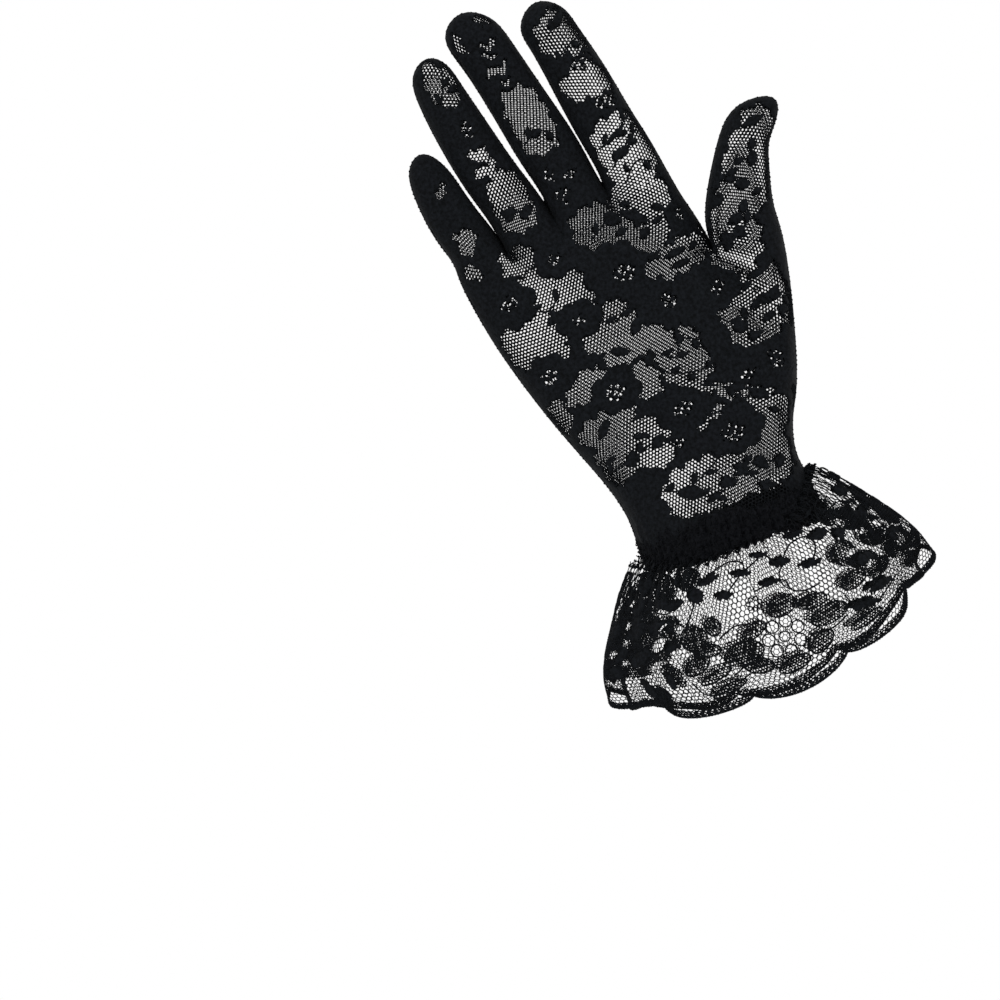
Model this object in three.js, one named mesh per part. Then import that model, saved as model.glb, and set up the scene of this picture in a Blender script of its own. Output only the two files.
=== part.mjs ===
// Lace mesh glove for a right hand, in its worn form and hollow throughout.
// Millimetres. +Z runs up the palm to the fingers, -Y comes out of the palm side,
// +X points to the thumb side. The origin is the centre of the wrist opening.
// Each soft piece is a thin wall whose outer face follows one smooth surface.
import * as THREE from 'three';

// Cloth and spacing
const CLOTH_WALL = 1.0;
const PIECE_GAP = 0.3;
const FIT_PASSES = 10;

// Wrist line: every row round the wrist drops towards the thumb side by this much per millimetre
const WRIST_SLOPE = -0.075;

// Hand rows from the wrist up to the finger roots. Depths are measured from y = 0:
// heel, hollow and ball are the palm side below the little finger, mid palm and below the thumb.
const HAND_ROWS = [
  {
    height: 7.4, slope: WRIST_SLOPE, left: -28.8, right: 29.8,
    heel: 18.6, hollow: 19.6, ball: 18.6, back: 19.4,
  },
  { height: 16, slope: -0.07, left: -27.8, right: 29.9, heel: 17.8, hollow: 17.2, ball: 19.2, back: 17.2 },
  { height: 27, slope: -0.05, left: -28.6, right: 34.8, heel: 17.4, hollow: 15.6, ball: 20.6, back: 15.4 },
  { height: 40, slope: -0.03, left: -31.4, right: 42.9, heel: 16.8, hollow: 14.2, ball: 20.4, back: 14.2 },
  { height: 60, slope: 0, left: -36.0, right: 45.0, heel: 15.4, hollow: 12.8, ball: 17.6, back: 13.2 },
  { height: 82, slope: 0, left: -39.8, right: 36.2, heel: 13.8, hollow: 12.4, ball: 12.4, back: 12.6 },
  { height: 96, slope: -0.04, left: -41.2, right: 35.4, heel: 12.0, hollow: 12.0, ball: 11.6, back: 11.8 },
  { height: 108, slope: -0.06, left: -41.4, right: 34.2, heel: 10.0, hollow: 10.6, ball: 10.6, back: 11.0 },
];

// Where the nine lengthwise lines of the palm and of the back lie, as shares of the row's width.
// Lines 2, 4 and 6 run up to the webs, lines 1, 3, 5 and 7 to the middles of the fingers.
const LINE_SHARES = [0.045, 0.12, 0.231, 0.35, 0.476, 0.605, 0.725, 0.86, 0.955];
const SECTION_POWER = 2.3;

// Webs between neighbouring fingers, little-and-ring first
const WEBS = [
  { across: -23.9, height: 112.6 },
  { across: -5.4, height: 117.6 },
  { across: 13.4, height: 118.0 },
];

// Rows of the hand between which the thumb leaves its side
const THUMB_LOW_ROW = 3;
const THUMB_HIGH_ROW = 5;

// Stall sections from root to tip, then the tip point itself.
// lean is the turn of the stall's run towards the thumb side, in degrees from +Z.
const FINGERS = [
  {
    name: 'little_finger',
    sections: [
      { across: -32.6, depth: -0.2, height: 118.5, halfWidth: 8.1, halfDepth: 7.9, lean: -5 },
      { across: -34.2, depth: -1.6, height: 127.5, halfWidth: 7.9, halfDepth: 7.5, lean: -8 },
      { across: -35.1, depth: -3.4, height: 136.5, halfWidth: 7.4, halfDepth: 7.0, lean: -4 },
      { across: -35.3, depth: -4.8, height: 143.6, halfWidth: 6.6, halfDepth: 6.3, lean: 0 },
      { across: -35.4, depth: -6.2, height: 149.8, halfWidth: 4.6, halfDepth: 4.5, lean: 2 },
    ],
    tip: { across: -35.0, depth: -6.9, height: 153.4 },
  },
  {
    name: 'ring_finger',
    sections: [
      { across: -15.3, depth: -0.4, height: 124.0, halfWidth: 8.8, halfDepth: 8.6, lean: -6 },
      { across: -17.5, depth: -1.6, height: 137.5, halfWidth: 8.6, halfDepth: 8.0, lean: -8 },
      { across: -19.2, depth: -3.6, height: 153.5, halfWidth: 8.2, halfDepth: 7.6, lean: -4 },
      { across: -20.0, depth: -5.6, height: 167.0, halfWidth: 7.3, halfDepth: 6.7, lean: 1 },
      { across: -19.7, depth: -7.0, height: 175.6, halfWidth: 5.6, halfDepth: 4.8, lean: 6 },
    ],
    tip: { across: -18.8, depth: -7.8, height: 179.8 },
  },
  {
    name: 'middle_finger',
    sections: [
      { across: 3.9, depth: -0.4, height: 125.5, halfWidth: 9.0, halfDepth: 9.0, lean: -4 },
      { across: 2.9, depth: -1.6, height: 138.0, halfWidth: 9.4, halfDepth: 8.6, lean: -5 },
      { across: 1.2, depth: -3.4, height: 155.0, halfWidth: 8.9, halfDepth: 8.0, lean: -6 },
      { across: -0.8, depth: -5.4, height: 172.5, halfWidth: 8.6, halfDepth: 7.2, lean: -6 },
      { across: -2.5, depth: -7.0, height: 182.6, halfWidth: 7.6, halfDepth: 5.6, lean: 2 },
    ],
    tip: { across: -2.4, depth: -7.8, height: 187.8 },
  },
  {
    name: 'index_finger',
    sections: [
      { across: 23.9, depth: -0.2, height: 123.0, halfWidth: 9.5, halfDepth: 8.8, lean: -3 },
      { across: 23.0, depth: -1.4, height: 136.0, halfWidth: 9.2, halfDepth: 8.3, lean: -3 },
      { across: 22.2, depth: -3.0, height: 152.0, halfWidth: 8.9, halfDepth: 7.7, lean: -4 },
      { across: 21.0, depth: -4.8, height: 167.0, halfWidth: 8.1, halfDepth: 6.9, lean: -3 },
      { across: 20.2, depth: -6.0, height: 175.2, halfWidth: 7.0, halfDepth: 5.3, lean: 0 },
    ],
    tip: { across: 20.4, depth: -6.8, height: 180.2 },
  },
];
const THUMB = {
  name: 'thumb',
  sections: [
    { across: 46.1, depth: -2.6, height: 79.8, halfWidth: 12.9, halfDepth: 11.2, lean: 43 },
    { across: 49.8, depth: -5.0, height: 92.4, halfWidth: 10.7, halfDepth: 9.6, lean: 29 },
    { across: 55.0, depth: -7.6, height: 102.6, halfWidth: 9.1, halfDepth: 8.4, lean: 26 },
    { across: 60.7, depth: -10.0, height: 110.8, halfWidth: 7.7, halfDepth: 7.2, lean: 36 },
    { across: 67.4, depth: -11.8, height: 115.9, halfWidth: 6.3, halfDepth: 5.8, lean: 50 },
  ],
  tip: { across: 74.6, depth: -12.8, height: 118.2 },
};
const RING_CORNER = 0.72;
const RING_POINTS = 8;

// Gathered wrist band, the ruffle and its corded edge share one set of columns
const COLUMNS = 100;
const BAND = { height: 11, centre: 1.2, halfWidth: 28.8, halfDepth: 19.6, pleatDepth: 0.45, pleats: 50 };
const BAND_PROFILE = [
  { out: 1.0, up: 0.5 },
  { out: 1.9, up: 0.22 },
  { out: 1.9, up: -0.22 },
  { out: 1.0, up: -0.5 },
  { out: -1.0, up: -0.47 },
  { out: -1.0, up: 0.47 },
];

// Ruffle: out is the share of the flare, down the share of the drop, puff the share of the
// gathered fullness that stands up beside the band, gather the share of the small pleats.
const RUFFLE_ROWS = [
  { out: 0.0, down: 0.0, puff: 0.0, gather: 0.4 },
  { out: 0.16, down: 0.01, puff: 0.1, gather: 1.0 },
  { out: 0.25, down: 0.04, puff: 1.0, gather: 0.7 },
  { out: 0.5, down: 0.21, puff: 0.65, gather: 0.2 },
  { out: 0.78, down: 0.5, puff: 0.25, gather: 0.0 },
  { out: 0.94, down: 0.77, puff: 0.08, gather: 0.0 },
  { out: 1.0, down: 1.0, puff: 0.0, gather: 0.0 },
];
const RUFFLE = {
  topClearance: 0.8,
  topHalfWidth: 28.7,
  topHalfDepth: 19.6,
  hemCentre: -2.8,
  hemHalfWidth: 55.2,
  hemHalfDepth: 34.0,
  sideDrop: 24.5,
  faceDrop: 46.0,
  dropPower: 1.5,
  thumbSidePuff: 13.0,
  outerSidePuff: 7.0,
  puffPower: 3,
  gatherDepth: 0.5,
  folds: 9,
  foldDepth: 3.2,
  faceFoldShare: 0.35,
  scallops: 10,
  scallopDepth: 3.9,
  scallopStart: 71,
  scallopPower: 0.6,
};
const HEM_CORD = { radius: 0.85, sides: 5 };

const LACE_COLOUR = 0x14161a;
const BAND_COLOUR = 0x0d0e11;

// A mesh here is a list of points and a list of four-sided faces, each with a piece label.
function newMesh() {
  return { points: [], faces: [], labels: [] };
}

function addFace(mesh, corners, label) {
  mesh.faces.push(corners);
  mesh.labels.push(label);
}

function degrees(angle) {
  return (angle * Math.PI) / 180;
}

// Width-wise blend of three values at shares 0, 1/2 and 1
function blendAcross(first, middle, last, share) {
  const side = 2 * share - 1;
  const curve = (first + last) / 2 - middle;
  return middle + ((last - first) / 2) * side + curve * side * side;
}

// One hand row: left edge, palm lines left to right, right edge, back lines right to left
function handRowPoints(row, isRoot) {
  const width = row.right - row.left;
  const at = (share, depth) => {
    const x = row.left + share * width;
    return new THREE.Vector3(x, depth, row.height + row.slope * x);
  };
  const roundness = (share) => {
    const side = Math.abs(2 * share - 1);
    return (1 - side ** SECTION_POWER) ** (1 / SECTION_POWER);
  };
  const linePoint = (line, depthSign) => {
    const share = LINE_SHARES[line];
    const palmDepth = blendAcross(row.heel, row.hollow, row.ball, share);
    const depth = depthSign < 0 ? palmDepth : row.back;
    const point = at(share, depthSign * depth * roundness(share));
    const isWebLine = isRoot && line % 2 === 0 && line > 0 && line < LINE_SHARES.length - 1;
    if (isWebLine) {
      point.x = WEBS[line / 2 - 1].across;
      point.y *= 0.86;
    }
    return point;
  };
  const lines = LINE_SHARES.map((_, line) => line);
  return [
    at(0, 0),
    ...lines.map((line) => linePoint(line, -1)),
    at(1, 0),
    ...lines.reverse().map((line) => linePoint(line, 1)),
  ];
}

// Points round one stall section: inner edge, palm side, outer edge, back side
function stallRing(section) {
  const lean = degrees(section.lean);
  const side = new THREE.Vector3(Math.cos(lean), 0, -Math.sin(lean));
  const centre = new THREE.Vector3(section.across, section.depth, section.height);
  const palm = new THREE.Vector3(0, -1, 0);
  const ring = [
    [-1, 0],
    [-RING_CORNER, RING_CORNER],
    [0, 1],
    [RING_CORNER, RING_CORNER],
    [1, 0],
    [RING_CORNER, -RING_CORNER],
    [0, -1],
    [-RING_CORNER, -RING_CORNER],
  ];
  return ring.map(([across, out]) =>
    centre
      .clone()
      .addScaledVector(side, across * section.halfWidth)
      .addScaledVector(palm, out * section.halfDepth)
  );
}

// Grows a stall from a root ring of point numbers to its closed tip
function addStall(mesh, rootRing, stall) {
  let lower = rootRing;
  for (const section of stall.sections) {
    const upper = stallRing(section).map((point) => mesh.points.push(point) - 1);
    for (let i = 0; i < RING_POINTS; i += 1) {
      const next = (i + 1) % RING_POINTS;
      addFace(mesh, [lower[i], lower[next], upper[next], upper[i]], stall.name);
    }
    lower = upper;
  }
  const { across, depth, height } = stall.tip;
  const tip = mesh.points.push(new THREE.Vector3(across, depth, height)) - 1;
  for (let i = 0; i < RING_POINTS; i += 2) {
    addFace(mesh, [tip, lower[i], lower[i + 1], lower[(i + 2) % RING_POINTS]], stall.name);
  }
}

// The whole glove body as one sheet of four-sided faces through the section points
function gloveCage() {
  const mesh = newMesh();
  const lineCount = LINE_SHARES.length;
  const rightEdge = lineCount + 1;
  const ringSize = 2 * lineCount + 2;
  const rows = HAND_ROWS.map((row, r) => {
    const points = handRowPoints(row, r === HAND_ROWS.length - 1);
    return points.map((point, i) => {
      const insideThumb = r > THUMB_LOW_ROW && r < THUMB_HIGH_ROW && i === rightEdge;
      return insideThumb ? -1 : mesh.points.push(point) - 1;
    });
  });
  for (let r = 0; r + 1 < rows.length; r += 1) {
    for (let i = 0; i < ringSize; i += 1) {
      const next = (i + 1) % ringSize;
      const corners = [rows[r][i], rows[r][next], rows[r + 1][next], rows[r + 1][i]];
      if (!corners.includes(-1)) {
        addFace(mesh, corners, i < rightEdge ? 'palm_panel' : 'back_panel');
      }
    }
  }
  const palmLine = (row, line) => row[1 + line];
  const backLine = (row, line) => row[ringSize - 1 - line];
  const low = rows[THUMB_LOW_ROW];
  const high = rows[THUMB_HIGH_ROW];
  const middle = rows[THUMB_LOW_ROW + 1];
  const lastLine = lineCount - 1;
  addStall(
    mesh,
    [
      high[rightEdge],
      palmLine(high, lastLine),
      palmLine(middle, lastLine),
      palmLine(low, lastLine),
      low[rightEdge],
      backLine(low, lastLine),
      backLine(middle, lastLine),
      backLine(high, lastLine),
    ],
    THUMB
  );
  const root = rows[rows.length - 1];
  const webPoints = WEBS.map((web) => mesh.points.push(new THREE.Vector3(web.across, 0, web.height)) - 1);
  const seams = [root[0], ...webPoints, root[rightEdge]];
  FINGERS.forEach((finger, i) => {
    const first = 2 * i;
    addStall(
      mesh,
      [
        seams[i],
        palmLine(root, first),
        palmLine(root, first + 1),
        palmLine(root, first + 2),
        seams[i + 1],
        backLine(root, first + 2),
        backLine(root, first + 1),
        backLine(root, first),
      ],
      finger
    );
  });
  return mesh;
}

function edgeKey(a, b) {
  return a < b ? `${a}_${b}` : `${b}_${a}`;
}

// Which faces and edges meet at each point, and which edges lie on an open border
function neighbourhood(mesh) {
  const edges = new Map();
  const around = mesh.points.map(() => ({ faces: [], edges: [] }));
  mesh.faces.forEach((corners, f) => {
    corners.forEach((a, i) => {
      const b = corners[(i + 1) % 4];
      const key = edgeKey(a, b);
      if (!edges.has(key)) {
        edges.set(key, { ends: [a, b], faces: [] });
        around[a].edges.push(key);
        around[b].edges.push(key);
      }
      edges.get(key).faces.push(f);
      around[a].faces.push(f);
    });
  });
  return { edges, around };
}

function otherEnd(edge, point) {
  return edge.ends[0] === point ? edge.ends[1] : edge.ends[0];
}

function average(points) {
  const sum = new THREE.Vector3();
  points.forEach((point) => sum.add(point));
  return sum.multiplyScalar(1 / points.length);
}

// Where each point of the cage comes to lie on the smooth surface
function limitPoints(mesh) {
  const { edges, around } = neighbourhood(mesh);
  return mesh.points.map((point, p) => {
    const spokes = around[p].edges.map((key) => edges.get(key));
    const border = spokes.filter((edge) => edge.faces.length === 1);
    if (border.length > 0) {
      const limit = point.clone().multiplyScalar(4);
      border.forEach((edge) => limit.add(mesh.points[otherEnd(edge, p)]));
      return limit.multiplyScalar(1 / 6);
    }
    const valence = spokes.length;
    const limit = point.clone().multiplyScalar(valence * valence);
    spokes.forEach((edge) => limit.addScaledVector(mesh.points[otherEnd(edge, p)], 4));
    around[p].faces.forEach((f) => {
      const corners = mesh.faces[f];
      const opposite = corners[(corners.indexOf(p) + 2) % 4];
      limit.add(mesh.points[opposite]);
    });
    return limit.multiplyScalar(1 / (valence * (valence + 5)));
  });
}

// Moves the cage out until its smooth surface passes through the section points
function fitCage(mesh) {
  const targets = mesh.points.map((point) => point.clone());
  for (let pass = 0; pass < FIT_PASSES; pass += 1) {
    const limits = limitPoints(mesh);
    mesh.points.forEach((point, p) => point.add(targets[p]).sub(limits[p]));
  }
}

// One smooth halving of every face (Catmull and Clark's rule)
function subdivide(mesh) {
  const { edges, around } = neighbourhood(mesh);
  const centres = mesh.faces.map((corners) => average(corners.map((p) => mesh.points[p])));
  const fine = newMesh();
  mesh.points.forEach((point, p) => {
    const spokes = around[p].edges.map((key) => edges.get(key));
    const border = spokes.filter((edge) => edge.faces.length === 1);
    if (border.length > 0) {
      const ends = border.map((edge) => mesh.points[otherEnd(edge, p)]);
      fine.points.push(point.clone().multiplyScalar(6).add(ends[0]).add(ends[1]).multiplyScalar(1 / 8));
      return;
    }
    const valence = spokes.length;
    const faceMean = average(around[p].faces.map((f) => centres[f]));
    const edgeMean = average(spokes.map((edge) => average(edge.ends.map((end) => mesh.points[end]))));
    const moved = point.clone().multiplyScalar(valence - 3).add(faceMean).addScaledVector(edgeMean, 2);
    fine.points.push(moved.multiplyScalar(1 / valence));
  });
  const edgePoints = new Map();
  edges.forEach((edge, key) => {
    const ends = edge.ends.map((end) => mesh.points[end]);
    const shared = edge.faces.length === 1 ? ends : [...ends, ...edge.faces.map((f) => centres[f])];
    edgePoints.set(key, fine.points.push(average(shared)) - 1);
  });
  mesh.faces.forEach((corners, f) => {
    const centre = fine.points.push(centres[f]) - 1;
    corners.forEach((corner, i) => {
      const ahead = edgePoints.get(edgeKey(corner, corners[(i + 1) % 4]));
      const behind = edgePoints.get(edgeKey(corner, corners[(i + 3) % 4]));
      addFace(fine, [corner, ahead, centre, behind], mesh.labels[f]);
    });
  });
  return fine;
}

function faceNormal(points, corners) {
  const across = points[corners[2]].clone().sub(points[corners[0]]);
  const along = points[corners[3]].clone().sub(points[corners[1]]);
  return across.cross(along);
}

function pointNormals(points, faces) {
  const normals = points.map(() => new THREE.Vector3());
  faces.forEach((corners) => {
    const normal = faceNormal(points, corners);
    corners.forEach((corner) => normals[corner].add(normal));
  });
  return normals.map((normal) => normal.normalize());
}

// Border edges of some faces: the edges that only one of these faces uses
function borderEdges(faces) {
  const seen = new Map();
  faces.forEach((corners) => {
    corners.forEach((a, i) => {
      const b = corners[(i + 1) % 4];
      const key = edgeKey(a, b);
      seen.set(key, seen.has(key) ? null : { from: a, to: b, corners });
    });
  });
  return [...seen.values()].filter((edge) => edge !== null);
}

// Pulls the border of a piece back over its own faces by half the gap to its neighbours
function pullBorder(points, border, distance) {
  const inward = new Map();
  border.forEach(({ from, to, corners }) => {
    const along = points[to].clone().sub(points[from]).normalize();
    const middle = average([points[from], points[to]]);
    const back = average(corners.map((corner) => points[corner])).sub(middle);
    back.addScaledVector(along, -back.dot(along)).normalize();
    [from, to].forEach((end) => {
      if (!inward.has(end)) {
        inward.set(end, []);
      }
      inward.get(end).push(back);
    });
  });
  const moved = new Map();
  inward.forEach(([first, second], end) => {
    const spread = Math.max(0.4, 1 + first.dot(second));
    const shift = first.clone().add(second).multiplyScalar(distance / spread);
    moved.set(end, points[end].clone().add(shift));
  });
  return moved;
}

// A closed thin wall: outer faces, inner faces one cloth wall deeper, and a rim along the border
function wallSolid(points, normals, faces, gap) {
  const border = borderEdges(faces);
  const moved = gap > 0 ? pullBorder(points, border, gap / 2) : new Map();
  const numbers = new Map();
  const corners = [];
  faces.flat().forEach((p) => {
    if (!numbers.has(p)) {
      const outer = moved.get(p) ?? points[p];
      numbers.set(p, corners.length);
      corners.push(outer, outer.clone().addScaledVector(normals[p], -CLOTH_WALL));
    }
  });
  const outer = (p) => numbers.get(p);
  const inner = (p) => numbers.get(p) + 1;
  const quads = [];
  faces.forEach(([a, b, c, d]) => {
    quads.push([outer(a), outer(b), outer(c), outer(d)]);
    quads.push([inner(d), inner(c), inner(b), inner(a)]);
  });
  border.forEach(({ from, to }) => {
    quads.push([outer(to), outer(from), inner(from), inner(to)]);
  });
  return { corners, quads };
}

function solidMesh(name, colour, { corners, quads }) {
  const positions = corners.flatMap((corner) => [corner.x, corner.y, corner.z]);
  const indices = quads.flatMap(([a, b, c, d]) => {
    const shortFirst = corners[a].distanceToSquared(corners[c]) <= corners[b].distanceToSquared(corners[d]);
    return shortFirst ? [a, b, c, a, c, d] : [a, b, d, b, c, d];
  });
  const geometry = new THREE.BufferGeometry();
  geometry.setAttribute('position', new THREE.Float32BufferAttribute(positions, 3));
  geometry.setIndex(indices);
  geometry.computeVertexNormals();
  const material = new THREE.MeshStandardMaterial({ color: colour, roughness: 0.85, metalness: 0 });
  const mesh = new THREE.Mesh(geometry, material);
  mesh.name = name;
  return mesh;
}

// Faces of a grid that closes round its columns, and round its rows too if asked
function gridFaces(rowCount, columnCount, closeRows) {
  const faces = [];
  const lastRow = closeRows ? rowCount : rowCount - 1;
  for (let r = 0; r < lastRow; r += 1) {
    const above = (r + 1) % rowCount;
    for (let c = 0; c < columnCount; c += 1) {
      const next = (c + 1) % columnCount;
      faces.push([
        r * columnCount + c,
        r * columnCount + next,
        above * columnCount + next,
        above * columnCount + c,
      ]);
    }
  }
  return faces;
}

// Points of a grid: rows one after another, each right round from the thumb side by the palm side
function gridPoints(rowCount, place) {
  const points = [];
  for (let r = 0; r < rowCount; r += 1) {
    for (let c = 0; c < COLUMNS; c += 1) {
      points.push(place(r, (2 * Math.PI * c) / COLUMNS, c));
    }
  }
  return points;
}

function ovalPoint(halfWidth, halfDepth, angle) {
  return new THREE.Vector3(halfWidth * Math.cos(angle), -halfDepth * Math.sin(angle), 0);
}

function bandPoint(row, angle) {
  const { out, up } = BAND_PROFILE[row];
  const reach = out + BAND.pleatDepth * Math.cos(BAND.pleats * angle);
  const point = ovalPoint(BAND.halfWidth + reach, BAND.halfDepth + reach, angle);
  point.z = BAND.centre + WRIST_SLOPE * point.x + up * BAND.height;
  return point;
}

// How far the lower edge hangs at an angle, between two scallops and down their lobes
function ruffleDrop(angle) {
  const face = Math.abs(Math.sin(angle)) ** RUFFLE.dropPower;
  return RUFFLE.sideDrop + (RUFFLE.faceDrop - RUFFLE.sideDrop) * face;
}

function scallopDrop(angle) {
  const lobe = Math.abs(Math.sin((RUFFLE.scallops / 2) * (angle - degrees(RUFFLE.scallopStart))));
  return RUFFLE.scallopDepth * lobe ** RUFFLE.scallopPower;
}

function rufflePoint(row, angle, column) {
  const { out, down, puff, gather } = RUFFLE_ROWS[row];
  const top = ovalPoint(RUFFLE.topHalfWidth, RUFFLE.topHalfDepth, angle);
  top.z = BAND.centre + WRIST_SLOPE * top.x - BAND.height / 2 - RUFFLE.topClearance;
  const hem = ovalPoint(RUFFLE.hemHalfWidth, RUFFLE.hemHalfDepth, angle);
  hem.x += RUFFLE.hemCentre;
  const outward = hem.clone().sub(top).setZ(0).normalize();
  const sideShare = Math.cos(angle) ** 2;
  const foldSize = RUFFLE.foldDepth * (RUFFLE.faceFoldShare + (1 - RUFFLE.faceFoldShare) * sideShare);
  const fold = foldSize * Math.sin(RUFFLE.folds * angle) * out * out;
  const pleat = RUFFLE.gatherDepth * gather * (column % 2 === 0 ? 1 : -1);
  const thumbSide = RUFFLE.thumbSidePuff * Math.max(0, Math.cos(angle)) ** RUFFLE.puffPower;
  const outerSide = RUFFLE.outerSidePuff * Math.max(0, -Math.cos(angle)) ** RUFFLE.puffPower;
  const point = top.clone().lerp(hem, out).addScaledVector(outward, fold);
  point.z = top.z - down * ruffleDrop(angle) - down ** 6 * scallopDrop(angle);
  point.z += puff * (thumbSide + outerSide) + pleat;
  return point;
}

// The cord follows the ruffle's lower edge, a gap below it
function hemCordPoints(edgePoints, edgeDirections) {
  return gridPoints(HEM_CORD.sides, (side, angle, column) => {
    const edge = edgePoints[column];
    const down = edgeDirections[column];
    const ahead = edgePoints[(column + 1) % COLUMNS];
    const behind = edgePoints[(column + COLUMNS - 1) % COLUMNS];
    const run = ahead.clone().sub(behind).normalize();
    const out = run.clone().cross(down).normalize();
    const turn = (2 * Math.PI * side) / HEM_CORD.sides;
    const centre = edge.clone().addScaledVector(down, HEM_CORD.radius + PIECE_GAP);
    return centre
      .addScaledVector(out, HEM_CORD.radius * Math.cos(turn))
      .addScaledVector(down, HEM_CORD.radius * Math.sin(turn));
  });
}

const group = new THREE.Group();
group.name = 'mesh_glove';

// Hand panels and finger stalls
const cage = gloveCage();
fitCage(cage);
const body = subdivide(cage);
body.points = limitPoints(body);
const bodyNormals = pointNormals(body.points, body.faces);
const bodyPieces = ['palm_panel', 'back_panel', THUMB.name, ...FINGERS.map((finger) => finger.name)];
bodyPieces.forEach((name) => {
  const faces = body.faces.filter((_, f) => body.labels[f] === name);
  group.add(solidMesh(name, LACE_COLOUR, wallSolid(body.points, bodyNormals, faces, PIECE_GAP)));
});

// Wrist band
const bandPoints = gridPoints(BAND_PROFILE.length, bandPoint);
const bandFaces = gridFaces(BAND_PROFILE.length, COLUMNS, true);
group.add(solidMesh('wrist_band', BAND_COLOUR, { corners: bandPoints, quads: bandFaces }));

// Ruffle and its corded edge
const rufflePoints = gridPoints(RUFFLE_ROWS.length, rufflePoint);
const ruffleFaces = gridFaces(RUFFLE_ROWS.length, COLUMNS, false);
const ruffleNormals = pointNormals(rufflePoints, ruffleFaces);
group.add(solidMesh('cuff_ruffle', LACE_COLOUR, wallSolid(rufflePoints, ruffleNormals, ruffleFaces, 0)));
const hemRow = rufflePoints.slice(-COLUMNS);
const rowAbove = rufflePoints.slice(-2 * COLUMNS, -COLUMNS);
const hemDirections = hemRow.map((point, c) => point.clone().sub(rowAbove[c]).normalize());
const cordPoints = hemCordPoints(hemRow, hemDirections);
const cordFaces = gridFaces(HEM_CORD.sides, COLUMNS, true);
group.add(solidMesh('cuff_hem', BAND_COLOUR, { corners: cordPoints, quads: cordFaces }));

export default group;
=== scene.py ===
"""Lace mesh glove: the looks. The same section tables as the solids, in millimetres, carry real net,
solid petals, seams, a gathered band and a scalloped ruffle. +Z up the palm, -Y out of the palm side."""
import math

import bpy
import numpy as np
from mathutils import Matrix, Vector
from mathutils.bvhtree import BVHTree


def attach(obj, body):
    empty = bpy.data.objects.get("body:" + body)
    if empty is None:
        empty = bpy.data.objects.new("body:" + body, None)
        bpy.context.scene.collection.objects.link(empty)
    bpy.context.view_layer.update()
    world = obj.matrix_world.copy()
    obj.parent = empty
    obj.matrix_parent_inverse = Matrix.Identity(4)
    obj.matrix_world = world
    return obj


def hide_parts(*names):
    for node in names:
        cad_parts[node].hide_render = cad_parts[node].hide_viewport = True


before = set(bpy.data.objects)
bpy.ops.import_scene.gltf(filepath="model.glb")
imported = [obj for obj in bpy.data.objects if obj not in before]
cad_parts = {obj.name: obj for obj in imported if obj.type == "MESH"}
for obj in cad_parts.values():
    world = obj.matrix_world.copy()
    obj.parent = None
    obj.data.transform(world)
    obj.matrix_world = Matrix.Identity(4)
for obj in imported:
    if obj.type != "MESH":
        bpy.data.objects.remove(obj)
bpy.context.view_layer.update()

MM = 0.001
WRIST_SLOPE = -0.075

# Hand rows: height, slope, left, right, heel, hollow, ball, back
HAND_ROWS = [
    (2.0, WRIST_SLOPE, -28.3, 29.0, 18.2, 19.2, 18.2, 19.0),
    (7.4, WRIST_SLOPE, -28.8, 29.8, 18.6, 19.6, 18.6, 19.4),
    (16, -0.07, -27.8, 29.9, 17.8, 17.2, 19.2, 17.2),
    (27, -0.05, -28.6, 34.8, 17.4, 15.6, 20.6, 15.4),
    (40, -0.03, -31.4, 42.9, 16.8, 14.2, 20.4, 14.2),
    (60, 0, -36.0, 45.0, 15.4, 12.8, 17.6, 13.2),
    (82, 0, -39.8, 36.2, 13.8, 12.4, 12.4, 12.6),
    (96, -0.04, -41.2, 35.4, 12.0, 12.0, 11.6, 11.8),
    (108, -0.06, -41.4, 34.2, 10.0, 10.6, 10.6, 11.0),
]
LINE_SHARES = [0.045, 0.12, 0.231, 0.35, 0.476, 0.605, 0.725, 0.86, 0.955]
SECTION_POWER = 2.3
WEBS = [(-23.9, 112.6), (-5.4, 117.6), (13.4, 118.0)]
THUMB_LOW_ROW, THUMB_HIGH_ROW = 4, 6
WEB_LINES, WEB_DEPTH_SHARE = (2, 4, 6), 0.86
FIT_PASSES, SUBDIVISIONS = 10, 2
RING_CORNER = 0.72

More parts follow.
